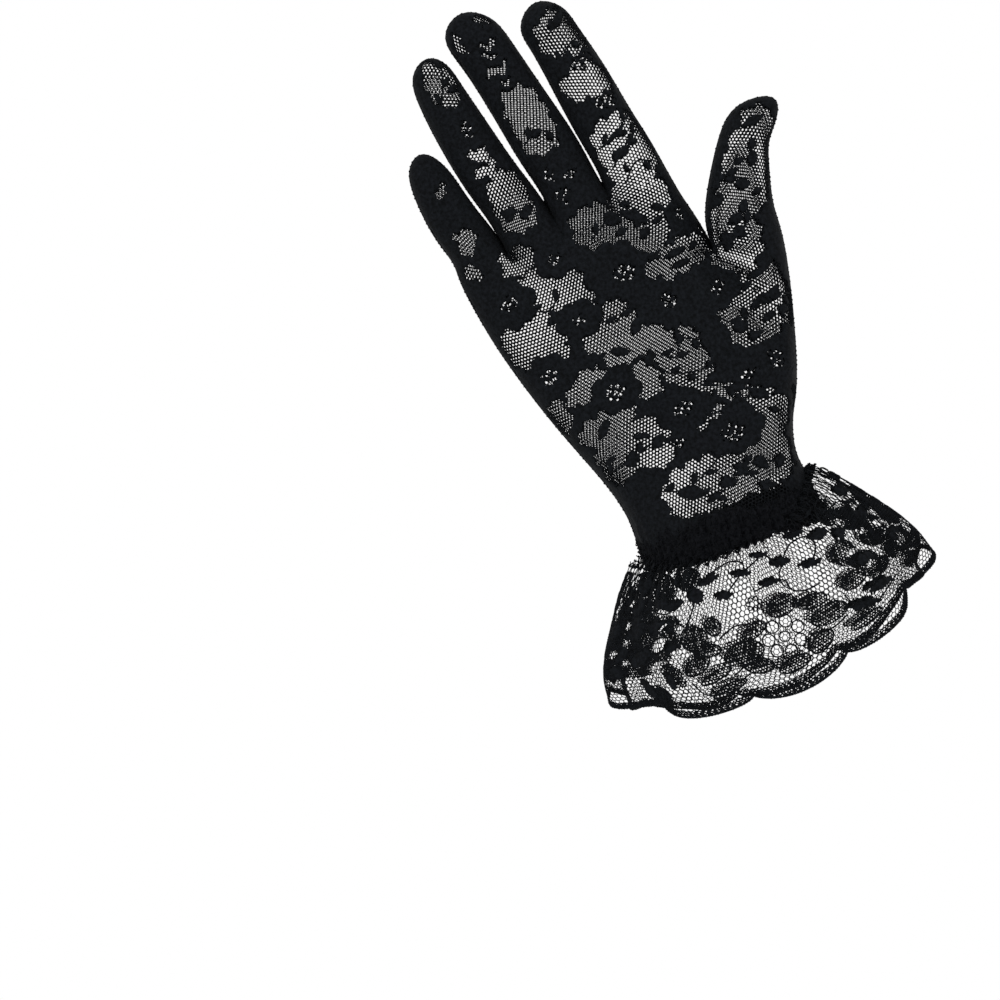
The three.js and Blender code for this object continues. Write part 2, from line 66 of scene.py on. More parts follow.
# Stall sections: across, depth, height, half width, half depth, lean; then the tip
STALLS = {
    "little_finger": ([
        (-32.6, -0.2, 118.5, 8.1, 7.9, -5),
        (-34.2, -1.6, 127.5, 7.9, 7.5, -8),
        (-35.1, -3.4, 136.5, 7.4, 7.0, -4),
        (-35.3, -4.8, 143.6, 6.6, 6.3, 0),
        (-35.4, -6.2, 149.8, 4.6, 4.5, 2),
    ], (-35.0, -6.9, 153.4)),
    "ring_finger": ([
        (-15.3, -0.4, 124.0, 8.8, 8.6, -6),
        (-17.5, -1.6, 137.5, 8.6, 8.0, -8),
        (-19.2, -3.6, 153.5, 8.2, 7.6, -4),
        (-20.0, -5.6, 167.0, 7.3, 6.7, 1),
        (-19.7, -7.0, 175.6, 5.6, 4.8, 6),
    ], (-18.8, -7.8, 179.8)),
    "middle_finger": ([
        (3.9, -0.4, 125.5, 9.0, 9.0, -4),
        (2.9, -1.6, 138.0, 9.4, 8.6, -5),
        (1.2, -3.4, 155.0, 8.9, 8.0, -6),
        (-0.8, -5.4, 172.5, 8.6, 7.2, -6),
        (-2.5, -7.0, 182.6, 7.6, 5.6, 2),
    ], (-2.4, -7.8, 187.8)),
    "index_finger": ([
        (23.9, -0.2, 123.0, 9.5, 8.8, -3),
        (23.0, -1.4, 136.0, 9.2, 8.3, -3),
        (22.2, -3.0, 152.0, 8.9, 7.7, -4),
        (21.0, -4.8, 167.0, 8.1, 6.9, -3),
        (20.2, -6.0, 175.2, 7.0, 5.3, 0),
    ], (20.4, -6.8, 180.2)),
    "thumb": ([
        (46.1, -2.6, 79.8, 12.9, 11.2, 43),
        (49.8, -5.0, 92.4, 10.7, 9.6, 29),
        (55.0, -7.6, 102.6, 9.1, 8.4, 26),
        (60.7, -10.0, 110.8, 7.7, 7.2, 36),
        (67.4, -11.8, 115.9, 6.3, 5.8, 50),
    ], (74.6, -12.8, 118.2)),
}
FINGER_ORDER = ["little_finger", "ring_finger", "middle_finger", "index_finger"]


# Glove surface
class Cage:
    def __init__(self):
        self.points, self.faces, self.sides, self.parts = [], [], [], []

    def add_point(self, point):
        self.points.append(point)
        return len(self.points) - 1

    def add_face(self, corners, side, part):
        self.faces.append(corners)
        self.sides.append(side)
        self.parts.append(part)


def blend_across(first, middle, last, share):
    side = 2 * share - 1
    return middle + (last - first) / 2 * side + ((first + last) / 2 - middle) * side * side


def hand_row_points(row, is_root):
    height, slope, left, right, heel, hollow, ball, back = row

    def at(share, depth):
        x = left + share * (right - left)
        return [x, depth, height + slope * x]

    def line_point(line, sign):
        share = LINE_SHARES[line]
        roundness = (1 - abs(2 * share - 1) ** SECTION_POWER) ** (1 / SECTION_POWER)
        depth = blend_across(heel, hollow, ball, share) if sign < 0 else back
        point = at(share, sign * depth * roundness)
        if is_root and line in WEB_LINES:
            point[0] = WEBS[WEB_LINES.index(line)][0]
            point[1] *= WEB_DEPTH_SHARE
        return point

    lines = range(len(LINE_SHARES))
    return ([at(0, 0)] + [line_point(i, -1) for i in lines] + [at(1, 0)]
            + [line_point(i, 1) for i in reversed(lines)])


def stall_ring(section):
    """Eight points round a finger or the thumb."""
    across, depth, height, half_width, half_depth, lean = section
    turn = math.radians(lean)
    side = (math.cos(turn), 0, -math.sin(turn))
    k = RING_CORNER
    ring = [(-1, 0), (-k, k), (0, 1), (k, k), (1, 0), (k, -k), (0, -1), (-k, -k)]
    return [[across + a * half_width * side[0], depth - o * half_depth, height + a * half_width * side[2]]
            for a, o in ring]


def add_stall(cage, root, part):
    sections, tip = STALLS[part]
    lower = root
    for section in sections:
        upper = [cage.add_point(p) for p in stall_ring(section)]
        for i in range(8):
            j = (i + 1) % 8
            cage.add_face([lower[i], lower[j], upper[j], upper[i]], 0 if i < 4 else 1, part)
        lower = upper
    top = cage.add_point(list(tip))
    for i in range(0, 8, 2):
        cage.add_face([top, lower[i], lower[i + 1], lower[(i + 2) % 8]], 0 if i < 4 else 1, part)


def glove_cage():
    """Hand rows from the wrist to the finger roots, and a stall on every opening that they leave."""
    cage = Cage()
    right_edge = len(LINE_SHARES) + 1
    size = 2 * len(LINE_SHARES) + 2
    rows = []
    for r, row in enumerate(HAND_ROWS):
        points = hand_row_points(row, r == len(HAND_ROWS) - 1)
        rows.append([-1 if THUMB_LOW_ROW < r < THUMB_HIGH_ROW and i == right_edge else cage.add_point(p)
                     for i, p in enumerate(points)])
    for low, high in zip(rows, rows[1:]):
        for i in range(size):
            j = (i + 1) % size
            corners = [low[i], low[j], high[j], high[i]]
            if -1 not in corners:
                cage.add_face(corners, 0 if i < right_edge else 1, "hand")
    palm = lambda row, line: row[1 + line]
    back = lambda row, line: row[size - 1 - line]
    low, mid, high = rows[THUMB_LOW_ROW:THUMB_HIGH_ROW + 1]
    last = len(LINE_SHARES) - 1
    add_stall(cage, [high[right_edge], palm(high, last), palm(mid, last), palm(low, last), low[right_edge],
                     back(low, last), back(mid, last), back(high, last)], "thumb")
    root = rows[-1]
    seams = [root[0]] + [cage.add_point([x, 0, z]) for x, z in WEBS] + [root[right_edge]]
    for i, part in enumerate(FINGER_ORDER):
        f = 2 * i
        add_stall(cage, [seams[i], palm(root, f), palm(root, f + 1), palm(root, f + 2), seams[i + 1],
                         back(root, f + 2), back(root, f + 1), back(root, f)], part)
    return cage


def edge_table(points, faces):
    """Faces beside every edge, and the edges and faces at every point."""
    edges, at_point, faces_at = {}, [[] for _ in points], [[] for _ in points]
    for f, corners in enumerate(faces):
        for i, a in enumerate(corners):
            b = corners[(i + 1) % 4]
            key = (a, b) if a < b else (b, a)
            if key not in edges:
                edges[key] = []
                at_point[a].append(key)
                at_point[b].append(key)
            edges[key].append(f)
            faces_at[a].append(f)
    return edges, at_point, faces_at


def limit_points(points, faces):
    """Where the points of a cage come to lie on the smooth surface that it makes."""
    edges, at_point, faces_at = edge_table(points, faces)
    out = np.zeros_like(points)
    for p in range(len(points)):
        border = [k for k in at_point[p] if len(edges[k]) == 1]
        if border:
            out[p] = (4 * points[p] + sum(points[k[0] if k[1] == p else k[1]] for k in border)) / 6
            continue
        n = len(at_point[p])
        total = n * n * points[p]
        for k in at_point[p]:
            total = total + 4 * points[k[0] if k[1] == p else k[1]]
        for f in faces_at[p]:
            c = faces[f]
            total = total + points[c[(c.index(p) + 2) % 4]]
        out[p] = total / (n * (n + 5))
    return out


def subdivide(points, faces):
    """One smooth subdivision: every face becomes four."""
    edges, at_point, faces_at = edge_table(points, faces)
    centres = np.array([points[c].mean(0) for c in faces])
    moved = np.zeros_like(points)
    for p in range(len(points)):
        border = [k for k in at_point[p] if len(edges[k]) == 1]
        if border:
            moved[p] = (6 * points[p] + sum(points[k[0] if k[1] == p else k[1]] for k in border)) / 8
            continue
        n = len(at_point[p])
        face_mean = centres[faces_at[p]].mean(0)
        edge_mean = np.mean([(points[a] + points[b]) / 2 for a, b in at_point[p]], axis=0)
        moved[p] = ((n - 3) * points[p] + face_mean + 2 * edge_mean) / n
    out = list(moved)
    number = {}
    for (a, b), around in edges.items():
        number[a, b] = len(out)
        ends = points[a] + points[b]
        out.append(ends / 2 if len(around) == 1 else (ends + centres[around[0]] + centres[around[1]]) / 4)
    fine = []
    for f, c in enumerate(faces):
        middle = len(out)
        out.append(centres[f])
        mids = [number[min(c[i], c[(i + 1) % 4]), max(c[i], c[(i + 1) % 4])] for i in range(4)]
        for i in range(4):
            fine.append([c[i], mids[i], middle, mids[i - 1]])
    return np.array(out), fine


def glove_surface():
    """The smooth glove: the cage is moved until its surface passes through the measured points."""
    cage = glove_cage()
    target = np.array(cage.points, float)
    points = target.copy()
    for _ in range(FIT_PASSES):
        points += target - limit_points(points, cage.faces)
    faces, sides, parts = cage.faces, cage.sides, cage.parts
    for _ in range(SUBDIVISIONS):
        points, faces = subdivide(points, faces)
        sides = [s for s in sides for _ in range(4)]
        parts = [s for s in parts for _ in range(4)]
    return limit_points(points, faces), faces, np.array(sides), np.array(parts)


def vertex_normals(points, quads):
    q = np.asarray(quads)
    p = points[q]
    n = np.cross(p[:, 2] - p[:, 0], p[:, 3] - p[:, 1])
    out = np.zeros_like(points)
    for i in range(q.shape[1]):
        np.add.at(out, q[:, i], n)
    return out / np.maximum(np.linalg.norm(out, axis=1, keepdims=True), 1e-9)


# Mesh helpers
def new_object(name, points, edges, faces, material=None, smooth=True):
    mesh = bpy.data.meshes.new(name)
    mesh.from_pydata((np.asarray(points) * MM).tolist(), edges, faces)
    if faces and smooth:
        mesh.shade_smooth()
    obj = bpy.data.objects.new(name, mesh)
    bpy.context.scene.collection.objects.link(obj)
    if material:
        mesh.materials.append(material)
    return obj


def remove(obj):
    mesh = obj.data
    bpy.data.objects.remove(obj)
    bpy.data.meshes.remove(mesh)


def join(name, objs):
    """Makes one object of several."""
    for o in bpy.context.selected_objects:
        o.select_set(False)
    for o in objs:
        o.select_set(True)
    bpy.context.view_layer.objects.active = objs[0]
    if len(objs) > 1:
        bpy.ops.object.join()
    objs[0].name = name
    objs[0].data.name = name
    return objs[0]


class Sheet:
    """A cloth surface with its flat cut: flat coordinates of every point, and its place in space."""

    def __init__(self, flat, points, normals, quads, parts):
        self.flat, self.points, self.normals = flat, points, normals
        quads = np.asarray(quads)
        self.tris = np.concatenate([quads[:, [0, 1, 2]], quads[:, [0, 2, 3]]])
        self.parts = np.concatenate([parts, parts])
        corners = np.column_stack([flat, np.zeros(len(flat))])
        self.tree = BVHTree.FromPolygons(corners.tolist(), self.tris.tolist(), all_triangles=True)

    def lift(self, places):
        """Points, normals, part and distance outside the cut, for flat places."""
        tri = np.zeros(len(places), int)
        away = np.zeros(len(places))
        near = np.zeros((len(places), 2))
        for i, (x, y) in enumerate(places):
            spot, _, face, distance = self.tree.find_nearest((x, y, 0.0))
            tri[i], away[i], near[i] = face, distance, spot[:2]
        a, b, c = (self.flat[self.tris[tri, k]] for k in range(3))
        ab, ac, ap = b - a, c - a, near - a
        area = ab[:, 0] * ac[:, 1] - ab[:, 1] * ac[:, 0]
        v = (ap[:, 0] * ac[:, 1] - ap[:, 1] * ac[:, 0]) / area
        w = (ab[:, 0] * ap[:, 1] - ab[:, 1] * ap[:, 0]) / area
        share = np.clip(np.column_stack([1 - v - w, v, w]), 0, 1)
        share /= share.sum(1, keepdims=True)
        pick = lambda table: (table[self.tris[tri]] * share[:, :, None]).sum(1)
        normal = pick(self.normals)
        normal /= np.maximum(np.linalg.norm(normal, axis=1, keepdims=True), 1e-9)
        return pick(self.points), normal, self.parts[tri], away


# Shares of a cell's side that a thread may measure
SHORTEST_THREAD, LONGEST_THREAD = 0.12, 2.0
# Shares of the pitch: how far outside the cut a point and a cell's middle may lie, and a cell's reach
POINT_AWAY, MIDDLE_AWAY, CELL_REACH = 0.95, 0.35, 1.3


class Net:
    """A hexagon net over a sheet: rows of zigzag threads joined by short upright ones."""

    def __init__(self, sheet, pitch, jitter, seed):
        self.pitch, self.side = pitch, pitch / math.sqrt(3)
        low, high = sheet.flat.min(0) - pitch, sheet.flat.max(0) + pitch
        self.columns = int((high[0] - low[0]) / (pitch / 2)) + 2
        self.rows = int((high[1] - low[1]) / (1.5 * self.side)) + 2
        i, r = np.meshgrid(np.arange(self.columns), np.arange(self.rows))
        x = low[0] + i * pitch / 2
        y = low[1] + r * 1.5 * self.side + np.where((i + r) % 2 == 1, 0.5 * self.side, 0)
        self.flat = np.column_stack([x.ravel(), y.ravel()])
        self.flat += np.random.default_rng(seed).uniform(-jitter, jitter, self.flat.shape)
        self.points, self.normals, self.part, away = sheet.lift(self.flat)
        valid = away < POINT_AWAY * pitch
        i, r = np.meshgrid(np.arange(1, self.columns - 1), np.arange(self.rows - 1))
        keep = (i + r) % 2 == 0
        i, r = i[keep], r[keep]
        n = self.number
        self.cells = np.column_stack([n(r, i - 1), n(r, i), n(r, i + 1),
                                      n(r + 1, i + 1), n(r + 1, i), n(r + 1, i - 1)])
        self.cells = self.cells[valid[self.cells].all(1)]
        self.mid_flat = self.flat[self.cells].mean(1)
        self.mid, self.mid_normal, self.mid_part, away = sheet.lift(self.mid_flat)
        reach = np.linalg.norm(self.points[self.cells] - self.mid[:, None], axis=2).max(1)
        good = (away < MIDDLE_AWAY * pitch) & (reach < CELL_REACH * pitch)
        for name in ("cells", "mid_flat", "mid", "mid_normal", "mid_part"):
            setattr(self, name, getattr(self, name)[good])

    def number(self, row, column):
        return row * self.columns + column

    def wedge_places(self):
        """Middle of each cell's six wedges, in space and flat, and how far each leans to +X."""
        nxt = np.roll(self.cells, -1, axis=1)
        space = (self.mid[:, None] + self.points[self.cells] + self.points[nxt]) / 3
        flat = (self.mid_flat[:, None] + self.flat[self.cells] + self.flat[nxt]) / 3
        lean = (self.mid_normal[:, None, 0] + self.normals[self.cells, 0] + self.normals[nxt, 0]) / 3
        return space, flat, np.clip(lean, -1, 1)

    def threads(self, filled):
        """Threads, as pairs of points, that have an open wedge on either side."""
        beside = {}
        nxt = np.roll(self.cells, -1, axis=1)
        for c, (row, after) in enumerate(zip(self.cells.tolist(), nxt.tolist())):
            for k, (a, b) in enumerate(zip(row, after)):
                beside.setdefault((min(a, b), max(a, b)), []).append(filled[c, k])
        pairs = np.array(sorted(pair for pair, around in beside.items() if not all(around)))
        length = np.linalg.norm(self.points[pairs[:, 0]] - self.points[pairs[:, 1]], axis=1)
        return pairs[(length > SHORTEST_THREAD * self.side) & (length < LONGEST_THREAD * self.side)]

    def runs(self, pairs):
        """Points, edges and parts of the threads: zigzag rows as long lines, upright threads alone."""
        points, edges, parts = [], [], []
        end, end_part = None, None
        along = pairs[:, 0] // self.columns == pairs[:, 1] // self.columns
        for a, b in pairs[along].tolist():
            if end != a or end_part != self.part[a]:
                points.append(a)
            points.append(b)
            edges.append((len(points) - 2, len(points) - 1))
            parts.append(self.part[a])
            end, end_part = b, self.part[a]
        for a, b in pairs[~along].tolist():
            points += [a, b]
            edges.append((len(points) - 2, len(points) - 1))
            parts.append(self.part[a])
        return np.array(points), np.array(edges), np.array(parts)


def cloth_patch(net, filled, chosen, thickness, name):
    """The filled wedges of the chosen cells, as cloth with two faces and closed edges."""
    count = len(net.points)
    full = filled.all(1) & chosen
    faces = net.cells[full].tolist()
    partial = np.nonzero(chosen & ~filled.all(1) & filled.any(1))[0]
    for c in partial:
        corners = net.cells[c].tolist()
        faces += [[count + int(c), corners[k], corners[(k + 1) % 6]] for k in range(6) if filled[c, k]]
    used = sorted({p for f in faces for p in f})
    place = {p: i for i, p in enumerate(used)}
    faces = [[place[p] for p in f] for f in faces]
    used = np.array(used)
    is_mid = used >= count
    at = np.where(is_mid, used - count, 0)
    on = np.where(is_mid, 0, used)
    points = np.where(is_mid[:, None], net.mid[at], net.points[on])
    normals = np.where(is_mid[:, None], net.mid_normal[at], net.normals[on])
    flat = np.where(is_mid[:, None], net.mid_flat[at], net.flat[on])
    points = points + normals * cloth_relief(flat)[:, None]
    top = points + normals * thickness / 2
    under = points - normals * thickness / 2
    n = len(used)
    border = {}
    for f in faces:
        for a, b in zip(f, f[1:] + f[:1]):
            if (b, a) in border:
                del border[b, a]
            else:
                border[a, b] = True
    all_faces = faces + [[p + n for p in reversed(f)] for f in faces]
    all_faces += [[b, a, a + n, b + n] for a, b in border]
    return new_object(name, np.concatenate([top, under]), [], all_faces)


# Node trees
CORD_SIDES, KNOT_SEED = 6, 4
LEAST_KNOT, MOST_KNOT = (0.75, 0.75, 0.6), (1.25, 1.25, 1.0)
LOOP_SIDES, LOOP_YARN_SIDES, LOOP_LEAN = 7, 3, 0.9
LOOP_PLACE_SEED, LOOP_LEAN_SEED = 11, 12


def new_node(tree, kind, values=None):
    """A node of a tree, with values on its named inputs."""
    made = tree.nodes.new(kind)
    for label, value in (values or {}).items():
        made.inputs[label].default_value = value
    return made


def wire(tree, *links):
    """Joins nodes: each link names a node, its output, the next node and its input."""
    for node, output, after, entry in links:
        tree.links.new(node.outputs[output], after.inputs[entry])


def node_tree(name, inputs):
    """A geometry tree with named inputs, and its first and last node."""
    tree = bpy.data.node_groups.new(name, "GeometryNodeTree")
    tree.interface.new_socket("Geometry", in_out="INPUT", socket_type="NodeSocketGeometry")
    for label, kind, value in inputs:
        socket = tree.interface.new_socket(label, in_out="INPUT", socket_type=kind)
        if value is not None:
            socket.default_value = value
    tree.interface.new_socket("Geometry", in_out="OUTPUT", socket_type="NodeSocketGeometry")
    return tree, tree.nodes.new("NodeGroupInput"), tree.nodes.new("NodeGroupOutput")


def finish_tree(tree, start, end, node, output):
    """Ends a tree: smooth shading, real geometry and the yarn's material."""
    smooth = new_node(tree, "GeometryNodeSetShadeSmooth")
    real = new_node(tree, "GeometryNodeRealizeInstances")
    paint = new_node(tree, "GeometryNodeSetMaterial")
    wire(tree, (node, output, smooth, "Geometry"), (smooth, "Geometry", real, "Geometry"),
         (real, "Geometry", paint, "Geometry"), (start, "Yarn", paint, "Material"),
         (paint, "Geometry", end, "Geometry"))
    return tree


def thread_tree():
    """Threads: every run of edges becomes a closed tube."""
    tree, start, end = node_tree("threads", [
        ("Radius", "NodeSocketFloat", 0.00015), ("Sides", "NodeSocketInt", 3),
        ("Yarn", "NodeSocketMaterial", None)])
    to_curve = new_node(tree, "GeometryNodeMeshToCurve")
    circle = new_node(tree, "GeometryNodeCurvePrimitiveCircle")
    tube = new_node(tree, "GeometryNodeCurveToMesh", {"Fill Caps": True})
    wire(tree, (start, "Geometry", to_curve, "Mesh"), (start, "Radius", circle, "Radius"),
         (start, "Sides", circle, "Resolution"), (to_curve, "Curve", tube, "Curve"),
         (circle, "Curve", tube, "Profile Curve"))
    return finish_tree(tree, start, end, tube, "Mesh")


def knotted_tree():
    """A closed tube along a line, with small knots sewn round it at an even step."""
    tree, start, end = node_tree("knotted_cord", [
        ("Radius", "NodeSocketFloat", 0.0004), ("Knot", "NodeSocketFloat", 0.0006),
        ("Step", "NodeSocketFloat", 0.0016), ("Yarn", "NodeSocketMaterial", None)])
    to_curve = new_node(tree, "GeometryNodeMeshToCurve")
    circle = new_node(tree, "GeometryNodeCurvePrimitiveCircle", {"Resolution": CORD_SIDES})
    tube = new_node(tree, "GeometryNodeCurveToMesh", {"Fill Caps": True})
    spots = new_node(tree, "GeometryNodeCurveToPoints")
    spots.mode = "LENGTH"
    ball = new_node(tree, "GeometryNodeMeshIcoSphere", {"Subdivisions": 1})
    size = new_node(tree, "FunctionNodeRandomValue")
    size.data_type = "FLOAT_VECTOR"
    size.inputs["Min"].default_value = LEAST_KNOT
    size.inputs["Max"].default_value = MOST_KNOT
    size.inputs["Seed"].default_value = KNOT_SEED
    put = new_node(tree, "GeometryNodeInstanceOnPoints")
    both = new_node(tree, "GeometryNodeJoinGeometry")
    wire(tree, (start, "Geometry", to_curve, "Mesh"), (start, "Radius", circle, "Radius"),
         (to_curve, "Curve", tube, "Curve"), (circle, "Curve", tube, "Profile Curve"),
         (to_curve, "Curve", spots, "Curve"), (start, "Step", spots, "Length"),
         (start, "Knot", ball, "Radius"), (spots, "Points", put, "Points"),
         (spots, "Rotation", put, "Rotation"), (ball, "Mesh", put, "Instance"),
         (size, "Value", put, "Scale"), (tube, "Mesh", both, "Geometry"),
         (put, "Instances", both, "Geometry"))
    return finish_tree(tree, start, end, both, "Geometry")


def loop_tree():
    """Small loops of yarn standing out of a surface, spread evenly."""
    tree, start, end = node_tree("yarn_loops", [
        ("Spacing", "NodeSocketFloat", 0.0012), ("Density", "NodeSocketFloat", 900000.0),
        ("Loop", "NodeSocketFloat", 0.0006), ("Yarn radius", "NodeSocketFloat", 0.00017),
        ("Yarn", "NodeSocketMaterial", None)])
    spots = new_node(tree, "GeometryNodeDistributePointsOnFaces")
    spots.distribute_method = "POISSON"
    spots.inputs["Seed"].default_value = LOOP_PLACE_SEED
    loop = new_node(tree, "GeometryNodeCurvePrimitiveCircle", {"Resolution": LOOP_SIDES})
    yarn = new_node(tree, "GeometryNodeCurvePrimitiveCircle", {"Resolution": LOOP_YARN_SIDES})
    tube = new_node(tree, "GeometryNodeCurveToMesh")
    stand = new_node(tree, "GeometryNodeTransform", {"Rotation": (math.pi / 2, 0, 0)})
    put = new_node(tree, "GeometryNodeInstanceOnPoints")
    spin = new_node(tree, "FunctionNodeRandomValue")
    spin.data_type = "FLOAT_VECTOR"
    spin.inputs["Min"].default_value = (-LOOP_LEAN, -LOOP_LEAN, 0)
    spin.inputs["Max"].default_value = (LOOP_LEAN, LOOP_LEAN, 2 * math.pi)
    spin.inputs["Seed"].default_value = LOOP_LEAN_SEED
    turn = new_node(tree, "GeometryNodeRotateInstances")
    wire(tree, (start, "Geometry", spots, "Mesh"), (start, "Spacing", spots, "Distance Min"),
         (start, "Density", spots, "Density Max"), (start, "Loop", loop, "Radius"),
         (start, "Yarn radius", yarn, "Radius"), (loop, "Curve", tube, "Curve"),
         (yarn, "Curve", tube, "Profile Curve"), (tube, "Mesh", stand, "Geometry"),
         (spots, "Points", put, "Points"), (spots, "Rotation", put, "Rotation"),
         (stand, "Geometry", put, "Instance"), (put, "Instances", turn, "Instances"),
         (spin, "Value", turn, "Rotation"))
    return finish_tree(tree, start, end, turn, "Instances")


def socket_name(tree, label):
    return next(s.identifier for s in tree.interface.items_tree if s.name == label and s.in_out == "INPUT")


def baked(obj, tree, values, name):
    """The tree's result on obj as a plain mesh object; obj itself goes."""
    modifier = obj.modifiers.new("shape", "NODES")
    modifier.node_group = tree
    for label, value in values.items():
        modifier[socket_name(tree, label)] = value
    depsgraph = bpy.context.evaluated_depsgraph_get()
    depsgraph.update()
    mesh = bpy.data.meshes.new_from_object(obj.evaluated_get(depsgraph))
    remove(obj)
    out = bpy.data.objects.new(name, mesh)
    bpy.context.scene.collection.objects.link(out)
    return out


def tubes(name, points, edges, radius, sides, material):
    """Closed tubes along edges."""
    obj = new_object(name + "_line", points, np.asarray(edges).tolist(), [])
    return baked(obj, THREADS, {"Radius": radius * MM, "Sides": sides, "Yarn": material}, name)


def knotted(name, points, edges, radius, knot, step, material):
    """A sewn cord along edges, with knots."""
    obj = new_object(name + "_line", points, edges, [])
    values = {"Radius": radius * MM, "Knot": knot * MM, "Step": step * MM, "Yarn": material}
    return baked(obj, KNOTTED, values, name)


def catmull(table, at, closed=False):
    """Smooth value of a table of rows at fractional row numbers."""
    table = np.asarray(table, float)
    n = len(table)
    i = np.floor(at).astype(int)
    if not closed:
        i = np.clip(i, 0, n - 2)
    t = (at - i)[..., None]
    pick = (lambda k: table[(i + k) % n]) if closed else (lambda k: table[np.clip(i + k, 0, n - 1)])
    a, b, c, d = pick(-1), pick(0), pick(1), pick(2)
    return b + 0.5 * t * (c - a + t * (2 * a - 5 * b + 4 * c - d + t * (3 * (b - c) + d - a)))


def waves(table, *places):
    """Sum of sine waves: each row of the table gives a wave's size and its rate along every place."""
    total = 0
    for size, *rates in table:
        total = total + size * np.sin(sum(rate * place for rate, place in zip(rates, places)))
    return total


def ripples(x, z, across, up):
    """A quilted pattern between -1 and 1: sines across and up, each bent by a slower one the other way."""
    across_wave = np.sin(across[0] * x + across[1] * np.sin(across[2] * z))
    return across_wave * np.sin(up[0] * z + up[1] * np.sin(up[2] * x))


LINE_STEP, LINE_GAP, LEAST_SPOTS, IN_FRONT = 0.7, 3, 4, -120.0


def line_length(line):
    return np.linalg.norm(np.diff(line, axis=0), axis=1).sum()


def place_on(tree, line):
    """A line given as across and height, laid on the palm side of a surface."""
    line = np.array(line, float)
    count = max(LEAST_SPOTS, int(line_length(line) / LINE_STEP))
    spots = catmull(line, np.linspace(0, len(line) - 1.0001, count))
    out = []
    for x, z in spots:
        spot, _, _, _ = tree.ray_cast((x, IN_FRONT, z), (0, 1, 0))
        if spot:
            out.append(spot[:])
    return np.array(out)


def line_tubes(name, tree, lines, radius, sides):
    """Raised lines of yarn laid on a surface."""
    points, edges = [], []
    for line in lines:
        laid = place_on(tree, line)
        for i, p in enumerate(laid):
            if i and np.linalg.norm(p - points[-1]) < LINE_GAP:
                edges.append((len(points) - 1, len(points)))
            points.append(p)
    return tubes(name, np.array(points), edges, radius, sides, LACE)


def space_tree(sheet):
    return BVHTree.FromPolygons(sheet.points.tolist(), sheet.tris.tolist(), all_triangles=True)


# Materials
def yarn_material(name, colour, light, roughness, scale, bump):
    """Dull twisted yarn: two close shades, a fine bump and a soft sheen."""
    material = bpy.data.materials.new(name)
    material.use_nodes = True
    tree = material.node_tree
    shader = tree.nodes["Principled BSDF"]
    place = new_node(tree, "ShaderNodeTexCoord")
    noise = new_node(tree, "ShaderNodeTexNoise", {"Scale": scale, "Detail": 3.0, "Roughness": 0.6})
    ramp = new_node(tree, "ShaderNodeValToRGB")
    for stop, (position, shade) in zip(ramp.color_ramp.elements, ((0.35, colour), (0.72, light))):
        stop.position = position
        stop.color = (*shade, 1)
    relief = new_node(tree, "ShaderNodeBump", {"Strength": bump, "Distance": 0.0002})
    wire(tree, (place, "Object", noise, "Vector"), (noise, "Fac", ramp, "Fac"),
         (ramp, "Color", shader, "Base Color"), (noise, "Fac", relief, "Height"),
         (relief, "Normal", shader, "Normal"))
    shader.inputs["Roughness"].default_value = roughness
    shader.inputs["Specular IOR Level"].default_value = 0.04
    shader.inputs["Sheen Weight"].default_value = 0.007
    shader.inputs["Sheen Roughness"].default_value = 0.5
    return material


def plain_material(name, colour, roughness):
    material = bpy.data.materials.new(name)
    material.use_nodes = True
    shader = material.node_tree.nodes["Principled BSDF"]
    shader.inputs["Base Color"].default_value = (*colour, 1)
    shader.inputs["Roughness"].default_value = roughness
    return material


LACE = yarn_material("lace_yarn", (0.0007, 0.0009, 0.0012), (0.0040, 0.0048, 0.0062), 0.8, 900, 0.9)
BAND_YARN = yarn_material("band_yarn", (0.0006, 0.0007, 0.0010), (0.0034, 0.0038, 0.0050), 0.85, 1400, 0.9)
THREADS, KNOTTED, LOOPS = thread_tree(), knotted_tree(), loop_tree()

# Lace chart, seen from the palm side
# Roses: across, height, half width, half height, petals, turn
ROSES = [
    (15.5, 28, 10.4, 7.2, 7, 0), (3.6, 41.8, 9.2, 7.3, 6, 0), (39, 43, 8.0, 7.6, 7, 25),
    (25.5, 48, 7.2, 5.8, 5, 0), (23.5, 58, 4.8, 9.8, 4, 0), (30.5, 72, 8.2, 7.2, 7, 15),
    (17, 74, 7.4, 6.8, 6, 0), (4.5, 92, 10.8, 9.6, 8, 0), (-18, 26.5, 7.4, 5.2, 5, 30),
    (31, 98.5, 4.6, 5.6, 5, 0), (-13, 57, 9.0, 7.0, 7, 12), (-30, 71, 9, 7.5, 7, 0),
    (-13, 83, 8.0, 6.5, 6, 20), (-31, 97, 9.5, 8.0, 7, 8), (-11, 104, 7.5, 6.5, 6, 30),
    (49, 73.5, 3.4, 2.4, 5, 0),
]
